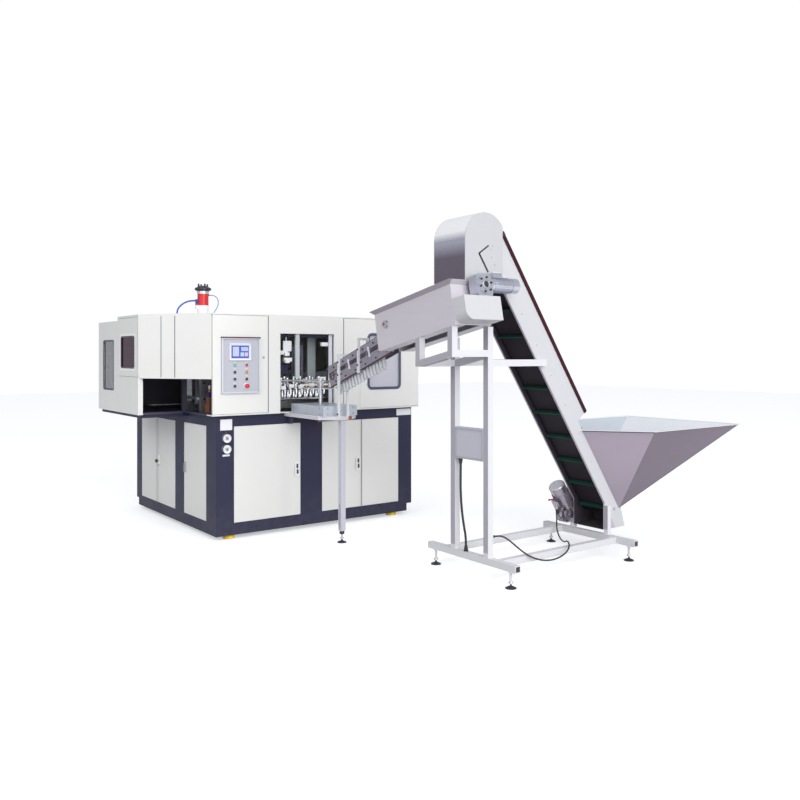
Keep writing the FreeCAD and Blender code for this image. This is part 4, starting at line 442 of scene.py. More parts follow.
# --- Pressure gauges ---
# Two 76 mm dial gauges in steel cases on the near post, and two blank white plates held by small rivets.
# Each dial is white with a grey centre, black graduation strokes and a dark needle on a hub.
dress(sprayed("gauge_steel", (0.62, 0.63, 0.65), gloss=0.25, metal=1.0, shade=0.06,
              marks=[(((-0.12, -0.0765, 0.73), (0, -0.0702, 1.07)), (0.86, 0.86, 0.88), 0.3)]), "pressure_gauges")
dial_white = sprayed("dial_white", (0.84, 0.85, 0.87), gloss=0.25, shade=0.03)
dial_grey = sprayed("dial_grey", (0.4, 0.42, 0.46), gloss=0.3, shade=0.08)
dial_black = sprayed("dial_black", (0.03, 0.025, 0.04), gloss=0.35, shade=0.1)
dial = [(0.036, 0), (0.038, 0.002), (0.038, 0.006), (0.035, 0.008), (0.0325, 0.008), (0.0315, 0.003)]
to_edge, to_face = Matrix.Translation((0, 0.026, 0.003)), Matrix.Translation((0, 0.008, 0.0042))
for gauge, z, reading in (("upper", 0.898, 38), ("lower", 0.802, 64)):
    for piece, material in (
            (turned(gauge + "_dial", dial, 32), dial_white),
            (turned(gauge + "_dial_centre", [(0.0165, 0.003), (0.0165, 0.0038), (0.016, 0.004)], 28), dial_grey),
            (repeated(plate(gauge + "_dial_strokes", 0.0012, 0.006, 0.0003, 0.0009, steps=1),
                      [turn("Z", angle) @ to_edge for angle in range(-135, 106, 30)]), dial_black),
            (repeated(plate(gauge + "_needle", 0.0026, 0.03, 0.0008, 0.001, steps=1),
                      [turn("Z", reading) @ to_face]), dial_black),
            (turned(gauge + "_needle_hub", [(0.005, 0.004), (0.005, 0.006), (0.003, 0.007)], 16), dial_black)):
        fix(piece, material, [(-0.057, -0.094, z)], "front")
fix(turned("plate_rivets", [(0.0035, 0), (0.0032, 0.0012), (0.0015, 0.002)], 10), lock_steel,
    [(x, -0.076, z) for x in (-0.105, -0.009) for z in (0.977, 1.057)] + [(x, -0.076, 0.747) for x in (-0.085, -0.029)],
    "front")
fix(turned("limit_mark", [(0.005, 0), (0.005, 0.002), (0.003, 0.004)], 14),
    sprayed("limit_red", (0.45, 0.03, 0.04), gloss=0.35, shade=0.05), [(-0.057, -0.07, 0.95)], "front")

# --- Air receiver ---
# A welded steel pressure vessel, sprayed blue. It lies inside the base, behind the doors, and holds the
# compressed air for the moulds.
dress(sprayed("receiver_paint", (0.05, 0.1, 0.26), gloss=0.35, shade=0.08), "air_receiver")

# --- Cabinet ---
# The tall cream housing over the base: folded sheet on a welded frame. Its inner faces are painted near
# black as shade, where little light comes in past the moulds. Rubber seals close the leaves and low screws hold the
# sheets.
CABINET_PAINTED_SHADE = (0.04, 0.04, 0.06)
# Painted shade: the cabinet's inner faces near black.
dress(cream("cabinet_paint", [
    (((-0.2105, -0.1101, 1.1115), (1.33, 1.701, 1.9875)), CABINET_PAINTED_SHADE, 0.5),
    (((-0.2105, 0.539, 1.11), (-0.169, 0.581, 1.99)), CABINET_PAINTED_SHADE, 0.5),
    (((-0.2105, -0.0095, 1.099), (-0.1395, 1.7, 1.1125)), (0.036, 0.036, 0.078), 0.5),
    (((-0.1905, -0.1075, 1.1125), (-0.1495, -0.0665, 1.99)), (0.40, 0.34, 0.42), 0.4),
    (((0.6215, -0.1105, 1.41), (0.6625, -0.0895, 1.99)), (0.50, 0.55, 0.55), 0.4)]), "cabinet_shell")

seal_rubber = sprayed("seal_rubber", (0.2, 0.19, 0.22), gloss=0.55, shade=0.2)


def seal(name, width, length):
    """A thin strip of rubber."""
    return plate(name, width, length, 0.001, 0.0012, steps=2)


fix(seal("control_seal", 0.008, 0.874), seal_rubber, [(0.3275, -0.13, 1.55)], "front")
fix(seal("window_seal", 0.008, 0.874), seal_rubber, [(1.1345, -0.13, 1.55)], "front")
fix(seal("middle_leaf_seal", 0.007, 0.872), seal_rubber, [(-0.162, 1.348, 0.57)], "left",
    body="side_middle_leaf")
fix(seal("right_leaf_seal", 0.007, 0.872), seal_rubber, [(1.3757, -0.082, 0.57)], "front",
    body="front_middle_leaf")
ALONG_FRONT, ALONG_SIDE, SCREW_LEVELS = (-0.17, 0.36, 0.92, 1.48, 2.01), (-0.07, 0.5, 1.1, 1.68), (1.15, 1.94)
for name, facing, places in (
        ("roof_screws", "up", [(x, y, 2.0) for x in ALONG_FRONT for y in (-0.07, 1.68)] +
         [(x, y, 2.0) for x in (-0.17, 2.01) for y in (0.5, 1.1)]),
        ("back_screws", "back", [(x, 1.72, z) for x in ALONG_FRONT for z in SCREW_LEVELS]),
        ("flank_screws", "right", [(2.05, y, z) for y in ALONG_SIDE for z in SCREW_LEVELS])):
    fix(turned(name, [(0.009, 0), (0.009, 0.002), (0.006, 0.0045)], 12), lock_steel, places, facing)

# --- Control door and its lock ---
# The leaf that carries the operator's console: the same folded cream sheet, hinged at one side and held by a
# steel key lock at its free edge.
dress(cream_paint, "control_door")
fix(turned("control_lock", [(0.01, 0), (0.01, 0.003), (0.008, 0.005), (0.005, 0.005), (0.0045, 0.004)]), lock_steel,
    [(0.28, -0.13, 1.611)], "front", body="control_leaf")

# --- Control console ---
# A pale blue-grey sheet console with a folded lip, under a dark rain brow. It holds a touch screen in a
# white moulded frame, whose picture is plain fields with no writing.
dress(sprayed("console_paint", (0.51, 0.52, 0.575), gloss=0.45, shade=0.03), "control_console")
console_edge = sprayed("console_edge", (0.66, 0.67, 0.74), gloss=0.4, shade=0.04)


def on_console(piece, material, places, facing="front"):
    """Fixes a piece on the console, which swings with the control door."""
    fix(piece, material, places, facing, body="control_leaf")


on_console(rim("console_lip", 0.365, 0.488, 0.01, 0.012, 0.004), console_edge,
           [(0.0505, -0.151, 1.54)])
on_console(plate("console_brow", 0.376, 0.034, 0.006, 0.01, 0.003),
           sprayed("brow_rubber", (0.1, 0.035, 0.05), gloss=0.5, shade=0.15),
           [(0.052, -0.146, 1.783)], "up")
SCREEN_BACK, SCREEN_FACE = -0.1505, -0.1515
SCREEN_FIELDS = (((-0.045, 1.603), (0.126, 1.718), (0.10, 0.12, 0.56)),
                 ((-0.030, 1.622), (0.030, 1.706), (0.56, 0.62, 0.80)),
                 ((0.050, 1.668), (0.118, 1.704), (0.50, 0.58, 0.86)),
                 ((0.044, 1.622), (0.080, 1.656), (0.48, 0.70, 0.70)),
                 ((0.086, 1.622), (0.116, 1.656), (0.70, 0.56, 0.74)))
dress(sprayed("screen_plastic", (0.70, 0.72, 0.78), gloss=0.3, shade=0.03, peel=0.02, marks=[
    (((left, SCREEN_FACE, low), (right, SCREEN_BACK, high)), color, 0.15)
    for (left, low), (right, high), color in SCREEN_FIELDS]), "touch_screen")
screen_white = sprayed("screen_white", (0.78, 0.80, 0.86), gloss=0.35, shade=0.03)
on_console(rim("screen_frame", 0.206, 0.151, 0.008, 0.014, 0.005), screen_white,
           [(0.0405, -0.153, 1.66)])
on_console(plate("screen_chin", 0.196, 0.016, 0.005, 0.007, 0.0015),
           sprayed("screen_chin_white", (0.88, 0.88, 0.90), gloss=0.3, shade=0.03),
           [(0.0405, -0.153, 1.594)])

# --- Buttons, selector and emergency stop ---
# Plunger buttons 22 mm across in two columns, each through a grey collar with a blank label plate above it,
# an orange turn selector and a red mushroom stop on a pale ring.
for node, name, color in (("green_button", "green_plastic", (0.10, 0.60, 0.42)),
                          ("red_button", "red_plastic", (0.62, 0.02, 0.03)),
                          ("emergency_stop", "stop_red_plastic", (0.66, 0.02, 0.04)),
                          ("orange_selector", "orange_plastic", (0.85, 0.24, 0.03))):
    dress(sprayed(name, color, gloss=0.28, shade=0.05, peel=0.05), node)
dress(black_plastic, "black_button_a", "black_button_b", "black_button_c", "black_button_d")
COLUMNS, ROWS, CONSOLE_FACE, LABEL_RISE = (-0.009, 0.104), (1.545, 1.483, 1.421, 1.359), -0.145, 0.028
*button_places, stop_place = [(x, CONSOLE_FACE, z) for z in ROWS for x in COLUMNS]


def hoop(name, outer, band, depth):
    """A round collar."""
    return opened(disc(name, outer, 28), band, depth)


on_console(hoop("button_collars", 0.016, 0.0035, 0.004), dial_grey, button_places)
on_console(hoop("stop_ring", 0.0285, 0.011, 0.003), screen_white, [stop_place])
on_console(plate("button_labels", 0.026, 0.01, 0.0015, 0.0012, 0.0004), console_edge,
           [(x, y, z + LABEL_RISE) for x, y, z in button_places])

# --- Window door ---
# The wide cream leaf beside the infeed, of the same folded sheet, with a hazy acrylic window held all round
# in a thick dark rubber gasket.
dress(cream_paint, "window_door")


def pane_sheet(name, color, roughness, clear, shine=0.5):
    """Cast acrylic sheet: clear or tinted through, with a polished face and faint handling haze."""
    made, tree, shader, place = material_tree(name)
    tint = mixed(tree, maths(tree, "MULTIPLY", noise(tree, place, 3), 0.4), color, [c * 0.82 for c in color])
    haze = maths(tree, "MULTIPLY_ADD", noise(tree, place, 9, 5), 0.08, roughness - 0.02)
    for label, value in (("Base Color", tint), ("Roughness", haze), ("Transmission Weight", clear),
                         ("Specular IOR Level", shine), ("IOR", 1.49)):
        feed(tree, shader[label], value)
    return made


clear_acrylic = pane_sheet("clear_acrylic", (0.93, 0.95, 0.96), 0.04, 1.0)
dress(pane_sheet("hazy_acrylic", (0.84, 0.84, 0.92), 0.10, 0.38), "window_door_pane")
gasket_rubber = sprayed("gasket_rubber", (0.065, 0.07, 0.13), gloss=0.5, shade=0.12, peel=0.2)
fix(rim("window_gasket", 0.408, 0.558, 0.05, 0.026, 0.007), gasket_rubber, [(1.615, -0.13, 1.57)],
    "front", body="window_leaf")

# --- Hood ---
# The projecting cream guard over the take-out side: folded panels on its angled front, a hinged leaf with a
# maroon acrylic window in a white gasket, and a clear side window edged in dark rubber. Its inner faces, a
# strip low at its front and the reveal of the leaf's window are painted near black as shade.
HOOD_PAINTED_SHADE = (0.022, 0.02, 0.035)
# Painted shade: the hood's inner faces and a strip low at its front, near black.
dress(cream("hood_paint", [
    (((-0.6105, 0.559, 1.1095), (-0.2, 1.7005, 1.9405)), HOOD_PAINTED_SHADE, 0.5),
    (((-0.6105, 0.559, 1.9), (-0.2, 1.1005, 1.9805)), HOOD_PAINTED_SHADE, 0.5),
    (((-0.5855, 0.538, 1.0895), (-0.2, 0.5605, 1.1105)), (0.03, 0.028, 0.06), 0.5)]), "hood_shell")
# Painted shade: the reveal of the leaf's window near black, inside its white gasket.
dress(cream("hood_leaf_paint", [
    (((-0.6305, 0.6165, 1.4885), (-0.6295, 1.0475, 1.8295)), (0.93, 0.93, 0.94), 0.4),
    (((-0.6295, 0.612, 1.484), (-0.6105, 1.052, 1.834)), (0.012, 0.01, 0.012), 0.5)]), "hood_door")
dress(clear_acrylic, "hood_side_pane")
dress(pane_sheet("maroon_acrylic", (0.05, 0.014, 0.03), 0.16, 0.0, 0.12), "hood_door_pane")
fix(rim("maroon_window_line", 0.39, 0.3, 0.03, 0.014, 0.006), black_plastic,
    [(-0.6238, 0.832, 1.659)], "left", body="hood_leaf")
fix(rim("side_window_gasket", 0.348, 0.491, 0.03, 0.014, 0.006), gasket_rubber,
    [(-0.6238, 1.402, 1.5345)], "left")
ANGLED_FRONT = ("Z", -57.1)
for name, x, y in (("hood_seam_right", -0.4165, 0.208), ("hood_seam_left", -0.495, 0.3315)):
    fix(seal(name, 0.008, 0.545), seal_rubber, [(x, y, 1.7075)], "front", ANGLED_FRONT)

# --- Clamp and moulds ---
# Milled steel platens on four tie bars with a sliding platen between them, and the chromed stretch rod above.
# Socket-head screws hold the fixed platen.
rolled_sheet, given, made = new_group("rolled_sheet", [
    ("Place", "Vector"), ("Metal", "Color", (0.6, 0.6, 0.6, 1)), ("Lines", "Vector", (200, 200, 4)),
    ("Contrast", "Float", 0.12), ("Gloss", "Float", 0.35)],
    [("Color", "Color"), ("Roughness", "Float"), ("Height", "Float")])
tree, where = rolled_sheet, given["Place"]
streak = noise(tree, vectors(tree, "MULTIPLY", where, given["Lines"]), 1.0, 3)
both = maths(tree, "MULTIPLY_ADD", streak, 1.2, maths(tree, "MULTIPLY", noise(tree, where, 3.0, 4), 0.8))
change = maths(tree, "MULTIPLY", maths(tree, "ADD", both, -1.0), given["Contrast"])
tree.links.new(vectors(tree, "SCALE", given["Metal"], maths(tree, "ADD", change, 1.0)), made["Color"])
smoothest = maths(tree, "ADD", given["Gloss"], -0.16)
tree.links.new(maths(tree, "MULTIPLY_ADD", both, 0.16, smoothest), made["Roughness"])
tree.links.new(streak, made["Height"])

machined = sprayed("machined_steel", (0.46, 0.47, 0.49), gloss=0.32, metal=0.85, lines=(40, 220, 40), contrast=0.2)
dress(machined, "clamp_frame", "moving_platen")
dress(sprayed("bright_chrome", (0.75, 0.76, 0.78), gloss=0.1, metal=1.0, lines=(5, 5, 80), contrast=0.05),
      "stretch_rod")


def cap_screw(name, radius, depth):
    """A socket-head screw: a bevelled head with a recess."""
    piece = disc(name, radius, 12)
    lift(depth * 0.85)
    bpy.ops.mesh.inset(thickness=radius * 0.12, depth=depth * 0.15)
    bpy.ops.mesh.inset(thickness=radius * 0.38)
    lift(-depth * 0.5)
    return closed(piece)


fix(cap_screw("platen_screws", 0.01, 0.01), black_plastic,
    [(x, 0.3, z) for x in (-0.106, 0.158) for z in (1.23, 1.374, 1.52)], "front")

# --- Stretch cylinder ---
# An air cylinder that stands on the cabinet roof: white foot collar, red barrel, a bright band and a black
# cap with four knobs; its hose port is dark blue.
dress(sprayed("cylinder_paint", (0.62, 0.02, 0.025), gloss=0.3, shade=0.05, marks=[
    ((UP, 1.6, 2.1065), (0.82, 0.83, 0.85), 0.35),
    ((UP, 2.2163, 2.2415), (0.62, 0.64, 0.68), 0.25, 0.8),
    ((UP, 2.2415, 2.5), (0.018, 0.018, 0.03), 0.35),
    (((-0.06, 0.6, 2.12), (-0.0245, 0.66, 2.18)), (0.03, 0.04, 0.22), 0.35)]), "stretch_cylinder")

# --- Valve manifold ---
# Bronze-brown valve bodies, side by side on a drilled block, with a dark blue band below their bright caps.
# They let the air into the moulds.
dress(sprayed("valve_brass", (0.27, 0.115, 0.065), gloss=0.4, metal=0.5, lines=(60, 60, 60), contrast=0.3, marks=[
    ((UP, 1.255, 1.3), (0.03, 0.03, 0.13), 0.4), ((UP, 1.33, 1.37), (0.5, 0.5, 0.54), 0.3, 0.6)]),
    "valve_manifold")

# --- Mandrel chain and its wheels ---
# A roller chain that carries the preform mandrels round two toothed sprockets, all of oiled dark steel with
# a streaked shine.
dress(sprayed("chain_steel", (0.33, 0.32, 0.31), gloss=0.38, metal=0.85, lines=(90, 90, 30), contrast=0.3),
      "mandrel_chain", "drive_sprocket", "idler_sprocket")

# --- Heating oven ---
# A folded aluminium housing, open along the chain, with six lamps across it. Its bare sheet keeps the fine
# lines of rolling.
dress(sprayed("sheet_aluminium", (0.62, 0.63, 0.64), gloss=0.35, metal=0.8, lines=(6, 90, 90), contrast=0.16),
      "oven_housing")

# --- Infeed table and star wheel ---
# A pale sprayed table on a square leg, held to the cabinet by red-brown brackets, with a zinc-coated case
# on top in which the star wheel turns.
RED_BROWN, POST_GREY = (0.3, 0.085, 0.05), (0.72, 0.72, 0.745)
dress(sprayed("table_paint", POST_GREY, gloss=0.42, shade=0.04, dust=0.25, marks=[
    (((0.5, -0.8, 1.1003), (0.9, -0.16, 1.2)), (0.52, 0.57, 0.63), 0.38, 0.45),
    (((0.5, -0.131, 0.99), (0.75, -0.069, 1.0701)), (0.036, 0.036, 0.078), 0.5),
    (((0.75, -0.131, 0.99), (0.95, -0.069, 1.0701)), RED_BROWN, 0.5),
    (((0.69, -0.7785, 0.1), (0.745, -0.7315, 1.0695)), (0.58, 0.57, 0.65), 0.4),
    ((UP, 1.0895, 1.0925), (0.4, 0.38, 0.42), 0.4), ((UP, 1.0775, 1.0805), (0.46, 0.44, 0.48), 0.4),
    (((0.763, -0.7906, 1.069), (0.9125, -0.789, 1.0998)), RED_BROWN, 0.5)]), "infeed_table")
dress(sprayed("star_steel", (0.52, 0.53, 0.56), gloss=0.3, metal=0.8, lines=(60, 60, 90), contrast=0.2), "star_wheel")
fix(cap_screw("case_screws", 0.008, 0.006), dial_grey,
    [(x, -0.73, z) for x in (0.585, 0.85) for z in (1.12, 1.17)] + [(0.717, -0.73, 1.145)], "front")
fix(cap_screw("case_side_screws", 0.008, 0.006), dial_grey,
    [(0.542, y, z) for y in (-0.67, -0.45, -0.23) for z in (1.12, 1.17)], "left")

# --- Infeed mechanism ---
# Behind the star wheel: ground guide bars in collars, rows of chromed pushers, grippers and springs, white
# plastic cam blocks and slides, a nylon strip and three black air cylinders with bright rods and red rings.
# Sheet covers, a feed block and a pale post stand round them in the opening.
bright_steel = sprayed("bright_steel", (0.72, 0.72, 0.75), gloss=0.18, metal=0.9, shade=0.15)
mechanism_white = sprayed("mechanism_white", (0.84, 0.84, 0.85), gloss=0.4, shade=0.05)
guide_bar = [(0.01, 0), (0.01, 0.06), (0.017, 0.062), (0.017, 0.09), (0.01, 0.092), (0.01, 0.25), (0.018, 0.252),
             (0.018, 0.285), (0.01, 0.287), (0.01, 0.44), (0.017, 0.442), (0.017, 0.47), (0.01, 0.472), (0.01, 0.54)]
fix(turned("guide_bars", guide_bar, 16), bright_steel,
    [(0.465, -0.06, 1.395), (0.465, 0.02, 1.3), (0.465, -0.04, 1.225)], "right")
pusher = [(0.012, 0), (0.012, 0.03), (0.007, 0.034), (0.007, 0.07), (0.016, 0.072), (0.016, 0.088), (0.01, 0.092),
          (0.01, 0.12), (0.005, 0.128)]
fix(turned("pushers", pusher, 14), bright_steel,
    [(0.49 + 0.058 * step, -0.02 - 0.012 * (step % 2), 1.24) for step in range(9)])
fix(soften(plate("cam_blocks", 0.05, 0.034, 0.006, 0.03, 0.004), 0.002), mechanism_white,
    [(0.5, -0.072, 1.33), (0.585, -0.078, 1.345), (0.69, -0.072, 1.335), (0.8, -0.078, 1.35), (0.905, -0.072, 1.33),
     (0.54, -0.07, 1.64), (0.545, -0.07, 1.575)], "front")
fix(soften(plate("cam_plate", 0.09, 0.1, 0.012, 0.014, 0.003), 0.002), mechanism_white,
    [(0.56, -0.05, 1.715)], "front")
cylinder = [(0.026, 0), (0.026, 0.014), (0.022, 0.016), (0.022, 0.15), (0.026, 0.152), (0.026, 0.172), (0.009, 0.174),
            (0.009, 0.215)]
fix(turned("feed_cylinders", cylinder, 20), black_plastic,
    [(0.5, 0.03, 1.43), (0.605, 0.05, 1.43), (0.745, 0.06, 1.45)])
fix(turned("feed_rods", [(0.007, 0), (0.007, 0.18), (0.012, 0.182), (0.012, 0.2), (0.008, 0.204)], 14), bright_steel,
    [(0.5, 0.03, 1.64), (0.605, 0.05, 1.64), (0.745, 0.06, 1.66)])
fix(turned("cylinder_rings", [(0.0275, 0), (0.0275, 0.012), (0.026, 0.014)], 20),
    sprayed("ring_red", (0.5, 0.03, 0.03), gloss=0.35, shade=0.1),
    [(0.5, 0.03, 1.5), (0.605, 0.05, 1.52), (0.745, 0.06, 1.5)])
gripper = [(0.009, 0), (0.009, 0.02), (0.017, 0.024), (0.019, 0.04), (0.011, 0.052), (0.011, 0.07), (0.015, 0.072),
           (0.015, 0.086)]
fix(turned("grippers", gripper, 14), bright_steel,
    [(0.5 + 0.045 * step, -0.045 + 0.02 * (step % 3), 1.335 + 0.012 * (step % 2)) for step in range(11)])
spring = [(0.006, 0), (0.006, 0.01), (0.01, 0.012), (0.01, 0.05), (0.006, 0.052), (0.006, 0.062)]
fix(turned("gripper_springs", spring, 12), bright_steel,
    [(0.47 + 0.03 * step, -0.07, 1.262 - 0.022 * (step % 2)) for step in range(17)])
fix(soften(plate("cam_slides", 0.085, 0.038, 0.005, 0.034, 0.004), 0.002), mechanism_white,
    [(0.56, -0.045, 1.59), (0.52, -0.04, 1.655), (0.96, -0.05, 1.735), (0.93, -0.04, 1.405)], "front")
fix(soften(plate("nylon_strip", 0.3, 0.02, 0.004, 0.01, 0.002), 0.001),
    sprayed("nylon", (0.8, 0.72, 0.52), gloss=0.4, shade=0.06), [(0.83, -0.088, 1.352)], "front")
fix(plate("feed_block", 0.11, 0.1, 0.006, 0.03, 0.004), navy_paint, [(0.535, 0, 1.5)], "front")
fix(plate("opening_post", 0.038, 0.69, 0.004, 0.016, 0.003), console_edge, [(1.004, -0.09, 1.482)],
    "front")
fix(plate("inner_cover", 0.09, 0.42, 0.006, 0.018, 0.004),
    sprayed("inner_grey", (0.3, 0.34, 0.34), gloss=0.4, shade=0.08), [(0.905, 0.1, 1.6)], "front")
fix(plate("inner_screen", 0.13, 0.33, 0.006, 0.016, 0.004),
    sprayed("inner_dark", (0.1, 0.1, 0.15), gloss=0.4, shade=0.12), [(0.77, 0.14, 1.56)], "front")
fix(plate("brow_bar", 0.56, 0.026, 0.004, 0.02, 0.003), navy_paint, [(0.74, -0.06, 1.812)], "front")

# --- Infeed chute and preforms ---
# Two pairs of brushed steel rails edged in dark maroon, on white hangers, down which the clear preforms
# slide one behind the other by their neck rings.
CHUTE_RISE, CHUTE_LEAN = (0, 0.324, 0.946), ("X", -18.9)
MAROON_EDGE, HANGER_WHITE = (0.045, 0.012, 0.022), (0.74, 0.74, 0.77)
dress(sprayed("chute_steel", (0.31, 0.28, 0.33), gloss=0.35, metal=0.6, lines=(120, 8, 40), contrast=0.25, marks=[
    *(((CHUTE_RISE, low, high), MAROON_EDGE, 0.5)
      for low, high in ((1.06, 1.0745), (1.156, 1.1635), (1.1835, 1.192), (1.251, 1.261))),
    (((0.65, -0.7855, 1.09), (0.78, -0.7645, 1.6425)), HANGER_WHITE, 0.4),
    (((0.65, -1.0935, 1.48), (0.78, -1.0725, 1.7765)), HANGER_WHITE, 0.4)]), "infeed_chute")
dress(pane_sheet("preform_plastic", (0.86, 0.88, 0.91), 0.14, 0.45), "preforms")
fix(cap_screw("hanger_screws", 0.008, 0.007), black_plastic,
    [(0.662, -0.775, z) for z in (1.46, 1.57, 1.12)] + [(0.662, -1.083, z) for z in (1.55, 1.68)], "left")


def on_chute(piece, material, spots, lean=("X", 0)):
    """Fixes a piece at spots (along, rise) of the chute's near face, counted from its low end."""
    _, run, climb = CHUTE_RISE
    fix(piece, material, [(0.68, -0.6353 - along * climb + rise * run, 1.343 + along * run + rise * climb)
                                for along, rise in spots], "left", lean)


on_chute(cap_screw("rail_screws", 0.0075, 0.006), black_plastic,
         [(along, rise) for along in (0.1, 0.26, 0.42, 0.58, 0.74, 0.9) for rise in (0.03, 0.16)])
# Painted shade: thin near-black plates stand for the slots in the rails.
on_chute(plate("rail_slots", 0.07, 0.012, 0.0055, 0.0008), dial_black,
         [(along, 0.066) for along in (0.18, 0.5, 0.82)], CHUTE_LEAN)
on_chute(hoop("rail_pivot", 0.034, 0.009, 0.005), dial_black, [(0.055, 0.092)])
on_chute(plate("rail_clips", 0.022, 0.09, 0.005, 0.006, 0.002), console_edge,
         [(0.34, 0.108), (0.66, 0.108)], CHUTE_LEAN)

# --- Trough and its rollers ---
# A sloping trough of pale steel sheet with a flared rim, where two ground rollers turn the preforms upright.
# A silver boss with a red insert closes the roller adjuster.
dress(sprayed("trough_steel", (0.6, 0.57, 0.61), gloss=0.42, metal=0.25, lines=(90, 6, 40), contrast=0.08, marks=[
    (((0.515, -1.7, 1.83), (0.5465, -1.6, 1.91)), (0.5, 0.51, 0.55), 0.25, 0.9),
    (((0.514, -2.46, 1.9), (0.5465, -1.44, 2.25)), (0.34, 0.3, 0.34), 0.42, 0.2)]), "trough")
dress(machined, "roller_near", "roller_far")
SLOPE = 11.2


def on_trough(piece, material, spots, facing="front"):
    """Fixes a piece at points of the sloping trough's own frame."""
    run, drop = math.cos(math.radians(SLOPE)), math.sin(math.radians(SLOPE))
    places = [(0.717 + x, -1.553 + y * run + z * drop, 1.662 - y * drop + z * run) for x, y, z in spots]
    fix(piece, material, places, facing, ("X", -SLOPE))


fix(turned("boss_insert", [(0.011, 0), (0.011, 0.003), (0.008, 0.004)], 18),
    sprayed("insert_red", (0.42, 0.03, 0.03), gloss=0.4, shade=0.1), [(0.525, -1.65, 1.87)], "left")
fix(rim("boss_washer", 0.066, 0.066, 0.032, 0.006, 0.003), lock_steel, [(0.547, -1.65, 1.87)], "left")

# --- Roller drive cover ---
# A sheet cover with one rounded end over the roller gears, sprayed white. Two socket-head screws hold it on
# the trough's high end.
white_paint = sprayed("white_paint", (0.58, 0.58, 0.595), gloss=0.4, shade=0.03)
dress(white_paint, "roller_drive_cover")
on_trough(cap_screw("cover_screws", 0.006, 0.004), dial_grey,
          [(x, -1.06, 0.12) for x in (-0.12, 0.13)])

# --- Upper gearmotor ---
# A small cast aluminium worm gearmotor on the cover: ribbed barrel, fan cowl, round flange with six screws
# round an open bore, drawn as a near-black disc of painted shade, and a white terminal box.
cast_aluminium = sprayed("motor_aluminium", (0.5, 0.51, 0.58), gloss=0.28, metal=0.85, shade=0.28, peel=0.5)
dress(cast_aluminium, "upper_gearmotor")
FIN_THICKNESS, FIN_ROOT = 0.003, 0.002


def fins(name, radius, reach, length, count):
    """Cooling ribs round a barrel, along its upward axis."""
    middle = (radius + reach / 2 - FIN_ROOT, FIN_THICKNESS / 2, length / 2)
    upright = Matrix.Translation(middle) @ turn("X", 90)
    return repeated(plate(name, reach, length, reach * 0.2, FIN_THICKNESS, steps=2),
                    [turn("Z", 360 * step / count) @ upright for step in range(count)])


def ring_of(piece, count, radius, start):
    """A ring of screws, the first one at so many degrees."""
    arm = Vector((radius, 0, 0))
    return repeated(piece, [Matrix.Translation(turn("Z", start + 360 * step / count) @ arm) for step in range(count)])


gear_face = [(0.048, -1.066, 0.2645)]
on_trough(fins("upper_motor_fins", 0.05, 0.009, 0.16, 22), cast_aluminium, [(0.15, -1.01, 0.28)],
          "right")
on_trough(hoop("upper_fan_grille", 0.044, 0.03, 0.004), black_plastic, [(0.386, -1.01, 0.28)], "right")
on_trough(ring_of(cap_screw("upper_flange_screws", 0.008, 0.007), 6, 0.053, 15), black_plastic,
          gear_face)
on_trough(hoop("upper_bore_collar", 0.034, 0.011, 0.008), lock_steel, gear_face)
# Painted shade: the open bore is a thin near-black disc.
on_trough(turned("upper_bore", [(0.021, 0), (0.021, 0.0015), (0.02, 0.002)]), dial_black, gear_face)
on_trough(plate("upper_terminal_lid", 0.088, 0.08, 0.008, 0.012, 0.004), white_paint,
          [(0.1925, -1.01, 0.3575)], "up")

# --- Elevator frame ---
# Folded sheet cheeks, channel and lid in pale sprayed grey. The lid's edge is bound in dark red-brown
# trim, the channel stands through a slot in the cheek, and the channel's inner faces carry near-black painted shade.
ELEVATOR_UP = (0.829, 0, 0.5592)
PALE_GREY = (0.6, 0.605, 0.625)
# Painted shade: the channel's inner faces, between the two planes across it, near black.
dress(sprayed("elevator_paint", PALE_GREY, gloss=0.42, shade=0.04, dust=0.2, marks=[
    ((ELEVATOR_UP, 1.9, 2.0745), (0.5, 0.45, 0.52), 0.42),
    (((0, 1, 0), -2.3862, -2.0738), (0.045, 0.036, 0.05), 0.55),
    ((ELEVATOR_UP, 2.3155, 2.345), PALE_GREY, 0.42)]), "elevator_frame")


def on_elevator(piece, material, spots, y, facing="front", lean=("Y", 56)):
    """Fixes a piece at spots (along, up) of the elevator, counted from its head drum's centre."""
    rise, _, run = ELEVATOR_UP
    fix(piece, material, [(0.932 + along * run + up * rise, y, 2.455 - along * rise + up * run)
                                for along, up in spots], facing, lean)


MIDDLE, NEAR_CHANNEL, NEAR_LID, SLOT_FACE = -2.23, -2.402, -2.393, -2.4062
trim_rubber = sprayed("trim_rubber", (0.04, 0.008, 0.011), gloss=0.6, shade=0.3, shine=0.15)
for side, y in (("near", NEAR_LID), ("far", 2 * MIDDLE - NEAR_LID)):
    on_elevator(plate(side + "_lid_trim", 1.64, 0.032, 0.004, 0.004, 0.001, 2), trim_rubber,
                [(0.832, 0.158)], y)
on_elevator(plate("lid_catch", 0.036, 0.03, 0.006, 0.01, 0.003), black_plastic, [(0.022, 0.158)],
            NEAR_LID)
on_elevator(cap_screw("cheek_bolts", 0.0075, 0.005), dial_grey,
            [(0.039, 0.009), (0.051, -0.026), (0.105, -0.046), (0.163, -0.051)], NEAR_CHANNEL)
on_elevator(turned("channel_rivets", [(0.0055, 0), (0.005, 0.0018), (0.0025, 0.003)], 10), dial_grey,
            [(along, -0.012) for along in (0.612, 0.892, 1.172, 1.457, 1.74, 2.02)], NEAR_CHANNEL)
slot_shadow = sprayed("slot_shadow", (0.03, 0.025, 0.035), gloss=0.6, shade=0.2)
for edge, width, height, spot in (("end", 0.011, 0.116, (0.017, -0.083)), ("side", 0.16, 0.015, (0.095, -0.138))):
    on_elevator(plate("channel_slot_" + edge, width, height, 0.002, 0.0012, steps=2), slot_shadow,
                [spot], SLOT_FACE)
